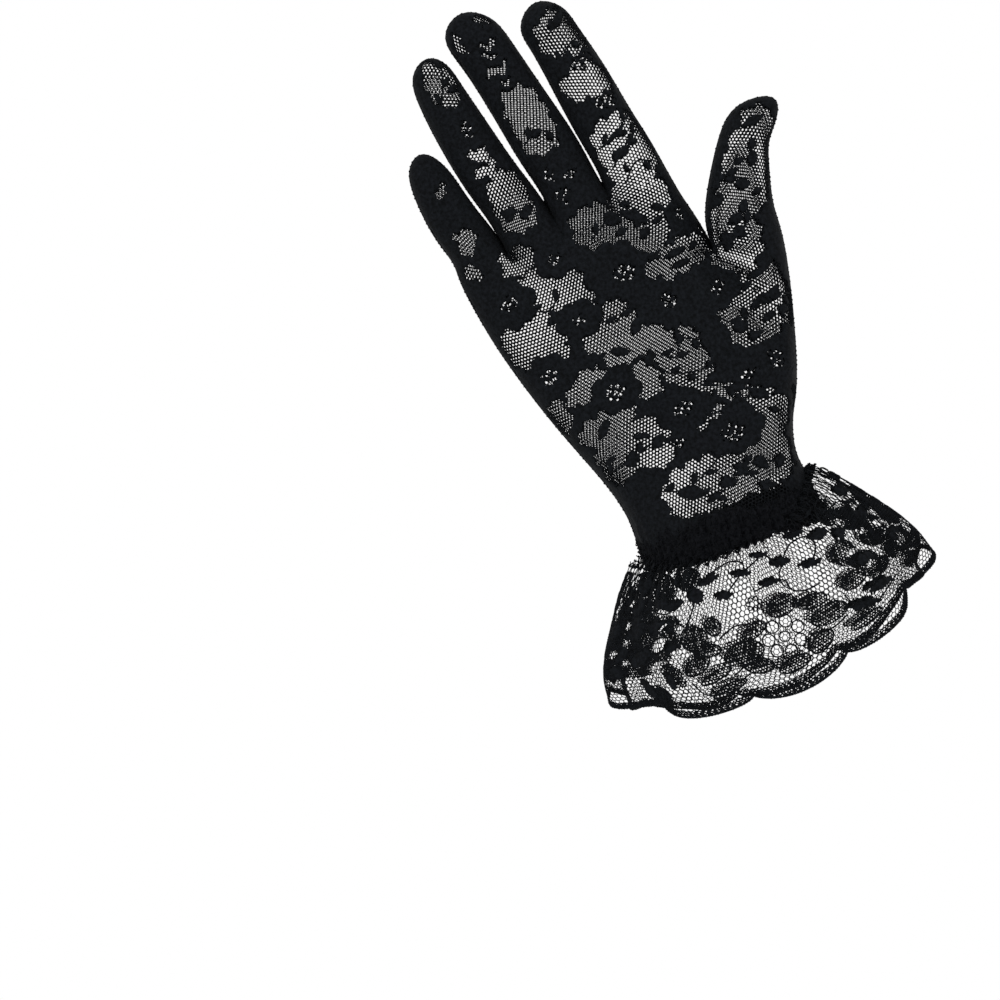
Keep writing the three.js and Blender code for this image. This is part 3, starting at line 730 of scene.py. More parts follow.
# Leaves: across, height, length, width, turn from level
LEAVES = [
    (-6, 17, 9.5, 4.6, -25), (0, 12.5, 7, 1.6, 15), (6, 14.5, 6.5, 3.0, -15), (12, 17, 5, 3.0, -40),
    (18.3, 16, 4.6, 3.6, 70), (17, 8.5, 6, 2.6, -30), (24.5, 13, 5, 2.4, 40), (-8, 36.7, 6, 3.4, 30),
    (-18, 35.5, 5, 4.0, 50), (-12, 40.5, 6, 2.0, -20), (-2.5, 31, 6, 3.0, 10), (-25, 38, 5, 2.0, 20),
    (32.5, 57.5, 5.5, 4.2, 0), (40.5, 62, 5, 2.6, 30), (47, 62, 4.8, 4.0, -45), (42, 56.5, 5, 2.6, 10),
    (48, 56.5, 4.5, 2.6, -20), (36, 53, 5, 2.0, 0), (45.5, 70.6, 9, 2.4, 5), (40, 68.5, 4, 2.0, 20),
    (46.5, 89.2, 5, 3.2, 0), (44, 84.8, 10, 2.4, 8), (40.5, 82.5, 4, 2.6, 40), (50.5, 91.5, 5, 2.6, 45),
    (52, 103, 4.5, 2.2, 0), (53.5, 98, 5, 3.4, -30), (60, 104, 5, 3.4, 60), (57, 94, 4, 2.0, 0),
    (65.5, 114.6, 8, 2.8, 0), (62, 108, 4, 2.4, 60), (11, 107.5, 5.5, 4.4, -50), (18, 104.5, 11, 2.8, -48),
    (12, 102.2, 4, 2.4, 0), (18.5, 98.5, 4.5, 2.8, 20), (26, 104, 5, 2.2, -40), (24.5, 88.4, 8.5, 2.2, 0),
    (24.5, 84.4, 7.5, 2.0, -4), (31, 88, 4, 2.0, 30), (18, 90.5, 5, 1.6, 20), (24, 125, 6.5, 3.0, 12),
    (24.5, 131, 9, 1.5, 20), (28.5, 128, 4, 1.8, 20), (24.5, 172, 7, 2.8, 30), (1.5, 143, 5, 2.4, 0),
    (-17.5, 123.5, 5.5, 3.4, 45), (-12, 122, 5, 3.0, 30), (-15.2, 167.8, 4.4, 2.0, 0),
    (-22, 48, 8, 3.0, 40), (-6, 68, 7, 2.8, -30), (-20, 87, 7, 2.8, 20), (2, 73, 6, 2.6, 60),
    (13, 62.5, 4, 1.6, 30), (22, 40.5, 6, 2.0, -40), (17, 36.2, 5, 2.0, 0), (27.5, 36.5, 6, 2.4, -35),
    (30, 29, 4, 1.8, -50),
]
# Open places of plain net: across, height, half width, half height, turn
WINDOWS = [
    (-2, 17.5, 13.2, 8.6, 0), (12, 14.5, 19, 8.6, 0), (5, 8.4, 10, 5.4, 0), (14, 5, 8, 4, 0),
    (26.5, 19, 5, 8, 0), (-17, 37, 13.5, 10, 0), (11.5, 57, 8.4, 10, 0), (5.8, 66.5, 4.3, 5.2, 20),
    (15, 44.5, 8, 2.2, -38), (20.5, 39.8, 5.2, 2.3, -32), (27, 35.5, 6.5, 2.5, -20), (10, 36.4, 6, 2.2, 12),
    (30, 29, 6.5, 5.2, -40), (36.6, 58.5, 10.2, 9.0, 0), (48, 60.5, 5.4, 9.4, -8), (45, 69.6, 7.2, 2.8, 5),
    (43.6, 84, 9.2, 11.6, -12), (57, 101, 13.5, 8.8, 55), (65, 110.5, 8.6, 7.0, 45),
    (66, 117, 4.6, 1.7, 10), (5.2, 108, 7.8, 6.8, 0), (22, 107.5, 10.4, 9.6, -20), (19, 97, 6.6, 5.6, -30),
    (25.5, 86.6, 10, 5.2, 8), (17, 86.5, 4.4, 3.4, 0), (-26, 84, 8, 5, 0), (-21, 63, 8, 4.2, 15),
    (-4, 68, 7.5, 4.6, 0), (-34, 58, 4.5, 6, 0), (-22, 109, 6, 4.6, 0), (-3, 79, 5, 3, 0),
    (-21, 49, 11, 4, 5), (-37, 112, 3, 3, 0), (-38, 84, 2.6, 6, 0), (26, 126, 11.2, 11.5, 0),
    (25, 150, 10.6, 5.2, -8), (25, 167.5, 10.2, 7.4, -10), (24, 174.5, 4, 2.2, 30), (2, 147.5, 7.4, 12.0, 0),
    (0, 166.5, 4, 1.6, 0), (0, 171.6, 2.2, 1.2, 0), (0.5, 175, 3, 1.4, 0), (-8, 179, 1.7, 3.6, 5),
    (3, 183, 3.4, 1.6, -40), (0, 162, 1.8, 1.0, 0), (-15, 127, 7.2, 10.6, -8), (-17.5, 139.5, 4, 2.2, 10),
    (-17.5, 145, 3.4, 2.4, 0), (-17.5, 165.5, 4.6, 2.8, 10), (-17.6, 172, 5.8, 7.0, -10),
    (-17.4, 169, 4.4, 3, 0), (-34, 122, 3.4, 4.4, 0), (-33.6, 140, 2.0, 1.8, 0), (-21, 91, 16, 13, 10),
    (-6, 77, 10, 6.5, 15), (-29, 78, 9, 7, 0), (8, 100.5, 6, 4, 0), (-3, 56, 5, 6, 0),
    (41, 27, 3.4, 5.5, 0), (52, 57, 4, 6, 0), (-36, 24, 3.4, 6, 0), (-40.5, 47, 3.4, 7, 0),
    (-46, 76, 3.4, 6, 0), (-47.5, 101, 3.4, 5, 0), (39.5, 128, 3.0, 6, 0), (38, 158, 2.8, 5, 0),
    (-48, 128, 2.6, 5, 0),
]
# Openwork between the petals: across, height, half width, half height
OPENWORK = [
    (14.5, 28.3, 4.4, 3.2), (4, 42.2, 3.6, 2.4), (37.8, 43.3, 2.8, 3.6), (28, 42.6, 3.4, 1.6),
    (25, 39, 1.8, 1.2), (31.7, 72.2, 2.8, 2.4), (15.6, 75.6, 2.6, 2.8), (6.7, 90, 4.0, 3.0),
    (31.7, 99, 1.6, 2.4), (-13, 57, 3.4, 2.8), (-30, 71, 3.2, 2.6), (-13, 83, 2.2, 1.8),
    (-31, 98, 3.0, 2.4), (-11, 104, 2.4, 2.0), (27, 142, 4.0, 2.6), (26, 157, 4.5, 2.4),
    (28, 146.5, 3.0, 1.2), (-1, 129, 2.0, 3.0), (6, 126, 2.8, 1.4), (0, 122, 3.6, 1.4),
    (-17.5, 154, 1.8, 3.2), (24, 118, 4.0, 2.4), (27, 113, 5.0, 2.4), (0, 119, 1.2, 1.2), (-3, 33, 3, 1.6),
    (44, 100, 1.5, 2),
]
# Stems: lines of across and height
STEMS = [
    [(-15, 22), (-8, 19), (0, 20.5), (8, 24)],
    [(-6, 17), (0, 12.5), (6, 14.5), (12, 17), (18.3, 16), (24.5, 13)], [(12, 17), (14, 12), (17, 8.5)],
    [(-30, 34), (-18, 35.5), (-8, 36.7), (-3, 31)], [(4, 63), (9, 58), (13, 62.5), (18, 60)],
    [(4, 55), (10, 52), (19, 50)], [(28, 62), (32.5, 57.5), (36, 53)],
    [(32.5, 57.5), (40.5, 62), (47, 62), (51, 60)], [(41, 67), (44, 60), (48, 56.5)],
    [(37, 84), (44, 84.8), (51, 87)], [(46.5, 89.2), (44, 84.8), (40.5, 82.5)],
    [(15, 113), (18, 104.5), (24, 99)], [(2, 104), (11, 107.5), (18, 104.5)],
    [(53.5, 98), (52, 103), (56, 107)], [(18, 121), (24, 125), (28.5, 128), (31, 129)],
    [(18, 129), (24.5, 131), (31, 135)], [(-3, 141), (1.5, 143), (7, 141)],
    [(-20, 121), (-17.5, 123.5), (-12, 122)], [(18, 168), (24.5, 172), (27, 175)],
    [(18, 157), (22, 162), (27, 164), (31, 163)], [(-22, 163), (-18, 170), (-15, 177)],
    [(20, 115), (26, 120), (31, 118)], [(-27, 94), (-21, 90), (-15, 93)], [(-8, 80), (-3, 77), (2, 80)],
    [(8, 37), (17, 36.2), (27.5, 36.5)], [(12, 47), (22, 40.5), (30, 36)],
]
SPRAY_STEP, SPRAY_LENGTH, SPRAY_WIDTH, SPRAY_TURN = 4.6, 4.0, 1.8, math.radians(42)
LOBE = 0.17
WINDOW_POWER = 2.7
# Waves that make the edges of the open places wander: size, rate across, rate up, start
EDGE_ACROSS = [(0.75, 0, 0.95, 1.3), (0.45, 0.4, 2.3, 0)]
EDGE_UP = [(0.7, 1.05, 0, 0.5), (0.45, 2.1, -0.5, 0)]
# Ripples across and up: rate, bend, rate of the bend
HEART_RIPPLES, HEART_CUT = ((2.0, 0.7, 1.5), (2.4, 0.6, 1.7)), 0.05


def ellipse_value(x, z, cx, cz, a, b, turn=0.0):
    t = math.radians(turn)
    u = (x - cx) * math.cos(t) + (z - cz) * math.sin(t)
    v = -(x - cx) * math.sin(t) + (z - cz) * math.cos(t)
    return (u / a) ** 2 + (v / b) ** 2, np.arctan2(v, u), u, v


def spray_leaves():
    """Small leaves by turns on both sides of every stem: across, height, length, width, turn."""
    leaves = []
    for stem in STEMS:
        line = np.array(stem, float)
        count = int(line_length(line) / SPRAY_STEP)
        at = (np.arange(count) + 0.5) / count * (len(line) - 1)
        for k, (spot, ahead) in enumerate(zip(catmull(line, at), catmull(line, at + 0.02))):
            turn = math.atan2(ahead[1] - spot[1], ahead[0] - spot[0]) + SPRAY_TURN * (-1) ** k
            reach = SPRAY_LENGTH / 2
            leaves.append((spot[0] + reach * math.cos(turn), spot[1] + reach * math.sin(turn),
                           SPRAY_LENGTH, SPRAY_WIDTH, math.degrees(turn)))
    return leaves


SPRAYS = spray_leaves()


def lace_cloth(x, z):
    """True where the lace is whole cloth: outside the open places, and on their roses and leaves."""
    open_net = np.zeros(x.shape, bool)
    drift_x = x + waves(EDGE_ACROSS, x, z, 1)
    drift_z = z + waves(EDGE_UP, x, z, 1)
    for cx, cz, a, b, turn in WINDOWS:
        _, _, u, v = ellipse_value(drift_x, drift_z, cx, cz, a, b, turn)
        open_net |= np.abs(u / a) ** WINDOW_POWER + np.abs(v / b) ** WINDOW_POWER < 1
    cloth = ~open_net
    for cx, cz, a, b, petals, turn in ROSES:
        d, angle, _, _ = ellipse_value(x, z, cx, cz, a, b)
        cloth |= d < (1 - LOBE + LOBE * np.abs(np.cos(petals / 2 * (angle + turn)))) ** 2
    for cx, cz, length, width, turn in LEAVES + SPRAYS:
        _, _, u, v = ellipse_value(x, z, cx, cz, 1, 1, turn)
        cloth |= np.abs(v) < width / 2 * (1 - (2 * u / length) ** 2)
    return cloth & ~openwork(x, z)


def openwork(x, z):
    """True in the small openings at the hearts of the roses."""
    small = ripples(x, z, *HEART_RIPPLES) > HEART_CUT
    inside = np.zeros(x.shape, bool)
    for cx, cz, a, b in OPENWORK:
        inside |= ellipse_value(x, z, cx, cz, a, b)[0] < 1
    return inside & small


# Lace body
NET_PITCH, NET_JITTER, NET_SEED = 1.2, 0.05, 5
THREAD_RADIUS, THREAD_SIDES = 0.26, 3
STEM_RADIUS, STEM_SIDES = 0.30, 5
CLOTH_THICKNESS = 0.36
# Radius of the sides that the chart is wrapped round
ROUND_SIDE = 11.0
UNWRAP_PASSES = 60
# Pleats above the wrist band: where they start, depth, reach, how fast they fade
GATHER_START, GATHER_DEPTH, GATHER_REACH, GATHER_FADE = 7.4, 0.45, 13, 1.3
GATHERS, GATHER_BEND, GATHER_BEND_RATE, FINE_GATHERS = 46, 1.3, 7, (0.4, 83, 0.3)
# Relief of the close stitching: height, and ripples across and up
FINE_RELIEF, FINE_RIPPLES = 0.10, ((2.1, 1.7, 0.8), (2.4, 1.3, 0.7))
BROAD_RELIEF, BROAD_RIPPLES = 0.09, ((0.62, 1.9, 0.33), (0.71, 1.5, 0.41))

body_points, body_faces, body_sides, body_parts = glove_surface()
body_normals = vertex_normals(body_points, body_faces)


def gather(points, normals):
    """Small upright pleats above the wrist band, dying out up the palm."""
    rise = points[:, 2] - WRIST_SLOPE * points[:, 0] - GATHER_START
    angle = np.arctan2(-points[:, 1], points[:, 0])
    depth = GATHER_DEPTH * np.clip(1 - rise / GATHER_REACH, 0, 1) ** GATHER_FADE
    wave = np.sin(GATHERS * angle + GATHER_BEND * np.sin(GATHER_BEND_RATE * angle))
    wave = wave + waves([FINE_GATHERS], angle, rise)
    return points + normals * (depth * wave)[:, None]


def flat_side(side):
    """Cuts one side out along the seams and lays it flat with little stretch."""
    keep = np.nonzero(body_sides == side)[0]
    used = sorted({p for f in keep for p in body_faces[f]})
    place = {p: i for i, p in enumerate(used)}
    quads = np.array([[place[p] for p in body_faces[f]] for f in keep])
    points = body_points[used]
    obj = new_object("flat_side", points, [], quads.tolist())
    obj.data.uv_layers.new(name="flat")
    bpy.context.view_layer.objects.active = obj
    obj.select_set(True)
    bpy.ops.object.mode_set(mode="EDIT")
    bpy.ops.mesh.select_all(action="SELECT")
    bpy.ops.uv.unwrap(method="MINIMUM_STRETCH", iterations=UNWRAP_PASSES, margin=0)
    bpy.ops.object.mode_set(mode="OBJECT")
    count = len(obj.data.loops)
    uv = np.zeros(count * 2)
    obj.data.uv_layers["flat"].data.foreach_get("uv", uv)
    at = np.zeros(count, int)
    obj.data.loops.foreach_get("vertex_index", at)
    flat = np.zeros((len(used), 2))
    flat[at] = uv.reshape(-1, 2)
    remove(obj)
    a, b, c, d = (points[quads[:, k]] for k in range(4))
    area = 0.5 * np.linalg.norm(np.cross(c - a, d - b), axis=1).sum()
    fa, fb, fc, fd = (flat[quads[:, k]] for k in range(4))
    p, q = fc - fa, fd - fb
    flat_area = 0.5 * np.abs(p[:, 0] * q[:, 1] - p[:, 1] * q[:, 0]).sum()
    flat = flat * math.sqrt(area / flat_area)
    goal = points[:, [0, 2]]
    u, _, w = np.linalg.svd((flat - flat.mean(0)).T @ (goal - goal.mean(0)))
    flat = (flat - flat.mean(0)) @ (u @ w) + goal.mean(0)
    return Sheet(flat, gather(points, body_normals[used]), body_normals[used], quads, body_parts[keep])


def cloth_relief(flat):
    """Height of the close stitching over the ground, from the flat place."""
    x, z = flat[:, 0], flat[:, 1]
    return FINE_RELIEF * ripples(x, z, *FINE_RIPPLES) + BROAD_RELIEF * ripples(x, z, *BROAD_RIPPLES)


def flat_cut(sheets, part):
    """Width, length and area of a part's flat cut in metres, its pieces side by side."""
    width, length, area = 0.0, 0.0, 0.0
    for sheet in sheets:
        corners = sheet.flat[sheet.tris[sheet.parts == part]]
        spread = corners.reshape(-1, 2)
        axis = np.linalg.svd(spread - spread.mean(0), full_matrices=False)[2]
        size = np.ptp((spread - spread.mean(0)) @ axis.T, axis=0)
        width, length = width + size[1], max(length, size[0])
        p, q = corners[:, 1] - corners[:, 0], corners[:, 2] - corners[:, 0]
        area += 0.5 * np.abs(p[:, 0] * q[:, 1] - p[:, 1] * q[:, 0]).sum()
    return (width * MM, length * MM), area * MM * MM


def lace_side(side, cover, bits, cuts):
    """Net and cloth of one side, shared out to the pieces that it belongs to."""
    sheet = flat_side(side)
    net = Net(sheet, NET_PITCH, NET_JITTER, NET_SEED + side)
    space, _, lean = net.wedge_places()
    across = space[:, :, 0] + ROUND_SIDE * (np.arcsin(lean) - lean)
    filled = lace_cloth(across, space[:, :, 2])
    pairs = net.threads(filled)
    if side == 0:
        middles = net.points[pairs].mean(1)
        pairs = pairs[~openwork(middles[:, 0], middles[:, 2])]
    points, edges, parts = net.runs(pairs)
    for part in np.unique(net.mid_part):
        piece = cover if part == "hand" else part
        cuts.setdefault(piece, (part, []))[1].append(sheet)
        patch = cloth_patch(net, filled, net.mid_part == part, CLOTH_THICKNESS, f"{piece}_cloth")
        patch.data.materials.append(LACE)
        mine = edges[parts == part]
        ends = np.unique(mine)
        order = np.full(len(points), -1)
        order[ends] = np.arange(len(ends))
        threads = tubes(f"{piece}_net", net.points[points[ends]], order[mine],
                        THREAD_RADIUS, THREAD_SIDES, LACE)
        bits.setdefault(piece, []).extend([patch, threads])
    return sheet


lace_bits, flat_cuts = {}, {}
palm_sheet = lace_side(0, "palm_panel", lace_bits, flat_cuts)
lace_side(1, "back_panel", lace_bits, flat_cuts)
lace_pieces = {piece: join(piece.replace("_panel", "") + "_lace", bits) for piece, bits in lace_bits.items()}
stems = line_tubes("palm_stems", space_tree(palm_sheet), STEMS, STEM_RADIUS, STEM_SIDES)

# Side seam
SEAM_RADIUS, SEAM_KNOT, SEAM_STEP = 0.42, 0.56, 1.5


def side_line():
    """The line where palm side and back meet, from the wrist round every finger and back to the wrist."""
    side_of = {}
    for f, corners in enumerate(body_faces):
        for a, b in zip(corners, corners[1:] + corners[:1]):
            side_of.setdefault((a, b) if a < b else (b, a), []).append(body_sides[f])
    beside = {}
    for (a, b), sides in side_of.items():
        if len(sides) == 2 and sides[0] != sides[1]:
            beside.setdefault(a, []).append(b)
            beside.setdefault(b, []).append(a)
    here = min((p for p, around in beside.items() if len(around) == 1), key=lambda p: body_points[p][0])
    line, before = [here], None
    while True:
        ahead = [p for p in beside[line[-1]] if p != before]
        if not ahead:
            return line
        before = line[-1]
        line.append(ahead[0])


seam_line = side_line()
seam_edges = [(i, i + 1) for i in range(len(seam_line) - 1)]
side_seam = knotted("side_seam", body_points[seam_line], seam_edges, SEAM_RADIUS, SEAM_KNOT, SEAM_STEP, LACE)

# Gathered wrist band
BAND_HEIGHT, BAND_CENTRE, BAND_HALF_WIDTH, BAND_HALF_DEPTH = 11.0, 1.2, 28.8, 19.6
# Section of the band: out, up (shares of the height)
BAND_SECTION = [
    (0.4, 0.64), (1.0, 0.54), (1.7, 0.36), (2.0, 0.14), (2.5, -0.05), (2.2, -0.24), (2.5, -0.42),
    (2.0, -0.58), (1.2, -0.60), (0.3, -0.48), (-0.6, -0.30), (-0.8, 0.0), (-0.7, 0.30), (-0.2, 0.52),
]
BAND_STEPS, BAND_BETWEEN = 640, 3
# Waves of the gathers: size, then rates round the band, up its section and along the drift
BAND_DRIFT = [(1.1, 5, 2.2), (0.8, 11, -4), (0.5, 23, 7)]
BAND_RUCHES = [(0.3, 33, 5, 1), (0.3, 58, 0, 2), (0.26, 97, 9, -1.7)]
BAND_LUMPS = [(0.34, 41, 26, 3), (0.18, 133, -31, 2)]
# Waves of the upper and lower edge: size, then rates round the band and along the drift
BAND_EDGE = [(0.8, 37, 1), (0.6, 61, -1), (0.9, 17, 2)]
# The ruches fade in over the outer face, and a little of them shows all round
OUTER_FROM, OUTER_OVER, ALL_ROUND = 0.4, 1.2, 0.12
# The top edge dips over the palm, the lower edge tilts, and the band lies closer at both sides
DIP_ACROSS, DIP_WIDTH, DIP_DEPTH, DIP_FROM, DIP_FACE = 14.0, 10.0, 3.6, 0.4, 1.3
LOWER_TILT, SIDE_SNUG, SNUG_POWER = -0.136, 0.6, 6
LOOP_SPACING, LOOP_SIZE, LOOP_YARN, LOOP_DENSITY, LOOP_FACING = 1.2, 0.55, 0.17, 900000.0, 0.1


def oval(half_width, half_depth, angle):
    return np.stack([half_width * np.cos(angle), -half_depth * np.sin(angle)], axis=-1)


def wrist_band():
    """The gathered band: its section is carried round the wrist and ruffled by waves."""
    rows = len(BAND_SECTION) * BAND_BETWEEN
    section = catmull(BAND_SECTION, np.arange(rows) / BAND_BETWEEN, closed=True)
    angle = 2 * np.pi * np.arange(BAND_STEPS) / BAND_STEPS
    turn, row = np.meshgrid(angle, np.arange(rows))
    out, up = section[row, 0], section[row, 1]
    outside = np.clip((out - OUTER_FROM) / OUTER_OVER, 0, 1)
    drift = waves(BAND_DRIFT, turn, up)
    ruche = waves(BAND_RUCHES, turn, up, drift)
    lumps = waves(BAND_LUMPS, turn, up, drift)
    snug = 1 - SIDE_SNUG * np.cos(turn) ** SNUG_POWER * np.clip(out, 0, 1)
    reach = (out + outside * (ruche + lumps) + ALL_ROUND * ruche) * snug
    flat = oval(1, 1, turn)
    x = (BAND_HALF_WIDTH + reach) * flat[..., 0]
    y = (BAND_HALF_DEPTH + reach) * flat[..., 1]
    edge = waves(BAND_EDGE, turn, drift)
    palm_side = np.clip(flat[..., 1] * -DIP_FACE, 0, 1)
    dip = DIP_DEPTH * np.exp(-((x - DIP_ACROSS) / DIP_WIDTH) ** 2) * palm_side * np.clip(up + DIP_FROM, 0, 1)
    tilt = LOWER_TILT * x * np.clip(-up, 0, 1)
    z = BAND_CENTRE + WRIST_SLOPE * x + up * (BAND_HEIGHT + edge) - dip + tilt
    points = np.stack([x, y, z], axis=-1).reshape(-1, 3)
    faces = []
    for r in range(rows):
        for c in range(BAND_STEPS):
            d, q = (c + 1) % BAND_STEPS, (r + 1) % rows
            faces.append([r * BAND_STEPS + c, r * BAND_STEPS + d, q * BAND_STEPS + d, q * BAND_STEPS + c])
    return new_object("wrist_ruching", points, [], faces, BAND_YARN)


def loops_on(band):
    """Fine loops of yarn over the outer face of the band."""
    def faces_out(face):
        x, y, _ = face.center
        outward = Vector((x / BAND_HALF_WIDTH**2, y / BAND_HALF_DEPTH**2, 0)).normalized()
        return face.normal.dot(outward) > LOOP_FACING

    faces = [face.vertices[:] for face in band.data.polygons if faces_out(face)]
    ground = new_object("loop_ground", np.array([v.co[:] for v in band.data.vertices]) / MM, [], faces)
    values = {"Spacing": LOOP_SPACING * MM, "Density": LOOP_DENSITY, "Loop": LOOP_SIZE * MM,
              "Yarn radius": LOOP_YARN * MM, "Yarn": BAND_YARN}
    return baked(ground, LOOPS, values, "band_loops")


ruching = wrist_band()
band_loops = loops_on(ruching)

# Ruffle
# Rows from the band to the hem: out, down, puff, header
RUFFLE_ROWS = [
    (0.0, 0.0, 0.0, 0.0), (0.02, 0.001, 0.55, 0.7), (0.05, 0.003, 0.9, 1.0), (0.13, 0.015, 1.1, 0.35),
    (0.27, 0.055, 0.98, 0.0), (0.5, 0.21, 0.65, 0.0), (0.78, 0.5, 0.25, 0.0), (0.94, 0.77, 0.08, 0.0),
    (1.0, 1.0, 0.0, 0.0),
]
# The header stands up beside the band at both sides
THUMB_HEADER, OUTER_HEADER, HEADER_POWER = 3.0, 4.5, 4
TOP_CLEARANCE, TOP_HALF_WIDTH, TOP_HALF_DEPTH = 0.8, 28.7, 19.6
HEM_CENTRE, HEM_HALF_WIDTH, HEM_HALF_DEPTH = -2.8, 55.2, 34.0
SIDE_DROP, FACE_DROP, DROP_POWER = 24.5, 46.0, 1.5
THUMB_PUFF, OUTER_PUFF, PUFF_POWER = 13.0, 7.0, 3
FOLDS, FOLD_DEPTH, FACE_FOLD_SHARE = 9, 3.2, 0.35
SCALLOPS, SCALLOP_DEPTH, SCALLOP_START, SCALLOP_POWER, SCALLOP_FADE = 10, 3.9, math.radians(71), 0.6, 6
RUFFLE_LENGTH, RUFFLE_DEPTH = 336.0, 50.0
# Pleats below the band, then short and long waves that run on down the ruffle
PLEATS, PLEAT_DEPTH, PLEAT_FADE, PLEAT_POWER = 64, 0.95, 11.0, 1.4
PLEAT_TOP, PLEAT_RAMP = 0.35, 2.5
PLEAT_BEND, PLEAT_SWAY = (1.6, 5), (0.9, 13, 0.12)
SHORT_WAVES, SHORT_DEPTH, SHORT_BEND, SHORT_SLANT, SHORT_RAMP = 27, 0.45, (1.2, 4), 0.05, 8
LONG_WAVES, LONG_DEPTH, LONG_BEND, LONG_RAMP = 22, 0.7, (1.5, 3), 20
LONG_END, LONG_END_SHARE = 50, 1.3
RUFFLE_JOIN = math.radians(-90)
RUFFLE_GRID, RUFFLE_SAMPLES = (640, 64), 400


def ruffle_surface(row, angle):
    """Points of the flared ruffle, at fractional row numbers and angles round the wrist."""
    share = catmull(RUFFLE_ROWS, row)
    out, down, puff, header = share[..., 0], np.clip(share[..., 1], 0, 1), share[..., 2], share[..., 3]
    top = oval(TOP_HALF_WIDTH, TOP_HALF_DEPTH, angle)
    top_z = BAND_CENTRE + WRIST_SLOPE * top[..., 0] - BAND_HEIGHT / 2 - TOP_CLEARANCE
    hem = oval(HEM_HALF_WIDTH, HEM_HALF_DEPTH, angle)
    hem[..., 0] += HEM_CENTRE
    outward = hem - top
    outward /= np.linalg.norm(outward, axis=-1, keepdims=True)
    size = FOLD_DEPTH * (FACE_FOLD_SHARE + (1 - FACE_FOLD_SHARE) * np.cos(angle) ** 2)
    fold = size * np.sin(FOLDS * angle) * out * out
    flat = top + (hem - top) * out[..., None] + outward * fold[..., None]
    drop = SIDE_DROP + (FACE_DROP - SIDE_DROP) * np.abs(np.sin(angle)) ** DROP_POWER
    scallop = SCALLOP_DEPTH * scallop_lobe(angle)
    side = np.cos(angle)
    rise = THUMB_PUFF * np.maximum(0, side) ** PUFF_POWER + OUTER_PUFF * np.maximum(0, -side) ** PUFF_POWER
    stand = header * (THUMB_HEADER * np.maximum(0, side) ** HEADER_POWER
                      + OUTER_HEADER * np.maximum(0, -side) ** HEADER_POWER)
    z = top_z - down * drop - down ** SCALLOP_FADE * scallop + puff * rise + stand
    return np.concatenate([flat, z[..., None]], axis=-1)


def scallop_lobe(angle):
    """Height of the scallops, 0 between them and 1 in their middles."""
    return np.abs(np.sin(SCALLOPS / 2 * (angle - SCALLOP_START))) ** SCALLOP_POWER


def ruffle_waves(turn, depth):
    """How far the pleats and waves stand out, from the turn round the wrist and the depth below the band."""
    pleat = waves([(1, PLEATS, 1, 1)], turn, waves([PLEAT_BEND], turn), waves([PLEAT_SWAY], turn, depth))
    short = waves([(SHORT_DEPTH, SHORT_WAVES, 1, SHORT_SLANT)], turn, waves([SHORT_BEND], turn), depth)
    long = waves([(LONG_DEPTH, LONG_WAVES, 1)], turn, waves([LONG_BEND], turn))
    fade = PLEAT_DEPTH * np.exp(-(depth / PLEAT_FADE) ** PLEAT_POWER)
    fade = fade * np.clip(PLEAT_TOP + depth / PLEAT_RAMP, 0, 1)
    shown = np.clip(depth / LONG_RAMP, 0, 1) * np.clip(LONG_END_SHARE - depth / LONG_END, 0, 1)
    return fade * (pleat + short * np.clip(depth / SHORT_RAMP, 0, 1)) + long * shown


def ruffle_sheet():
    """The ruffle as a strip: flat length round the wrist, flat depth down from the band."""
    steps, rows = RUFFLE_GRID
    fine = np.linspace(0, len(RUFFLE_ROWS) - 1, RUFFLE_SAMPLES)
    line = ruffle_surface(fine, np.full(RUFFLE_SAMPLES, math.pi / 2))
    run = np.concatenate([[0], np.cumsum(np.linalg.norm(np.diff(line, axis=0), axis=1))])
    row_at = np.interp(np.linspace(0, 1, rows + 1), run / run[-1], fine)
    u = np.linspace(0, 1, steps + 1)
    share, level = np.meshgrid(u, np.linspace(0, 1, rows + 1))
    angle = RUFFLE_JOIN - 2 * np.pi * share
    row = np.repeat(row_at[:, None], steps + 1, axis=1)
    points = ruffle_surface(row, angle).reshape(-1, 3)
    depth = level * RUFFLE_DEPTH + level ** SCALLOP_FADE * SCALLOP_DEPTH * scallop_lobe(angle)
    flat = np.column_stack([(share * RUFFLE_LENGTH).ravel(), -depth.ravel()])
    quads = []
    for r in range(rows):
        for c in range(steps):
            a = (r + 1) * (steps + 1) + c
            quads.append([a, a + 1, a - steps, a - steps - 1])
    wave = ruffle_waves(angle.ravel(), depth.ravel())
    points = points + vertex_normals(points, quads) * wave[:, None]
    normals = vertex_normals(points, quads)
    parts = np.array(["ruffle"] * len(quads))
    edge = np.arange(rows * (steps + 1), (rows + 1) * (steps + 1) - 1)
    return Sheet(flat, points, normals, quads, parts), points[edge]


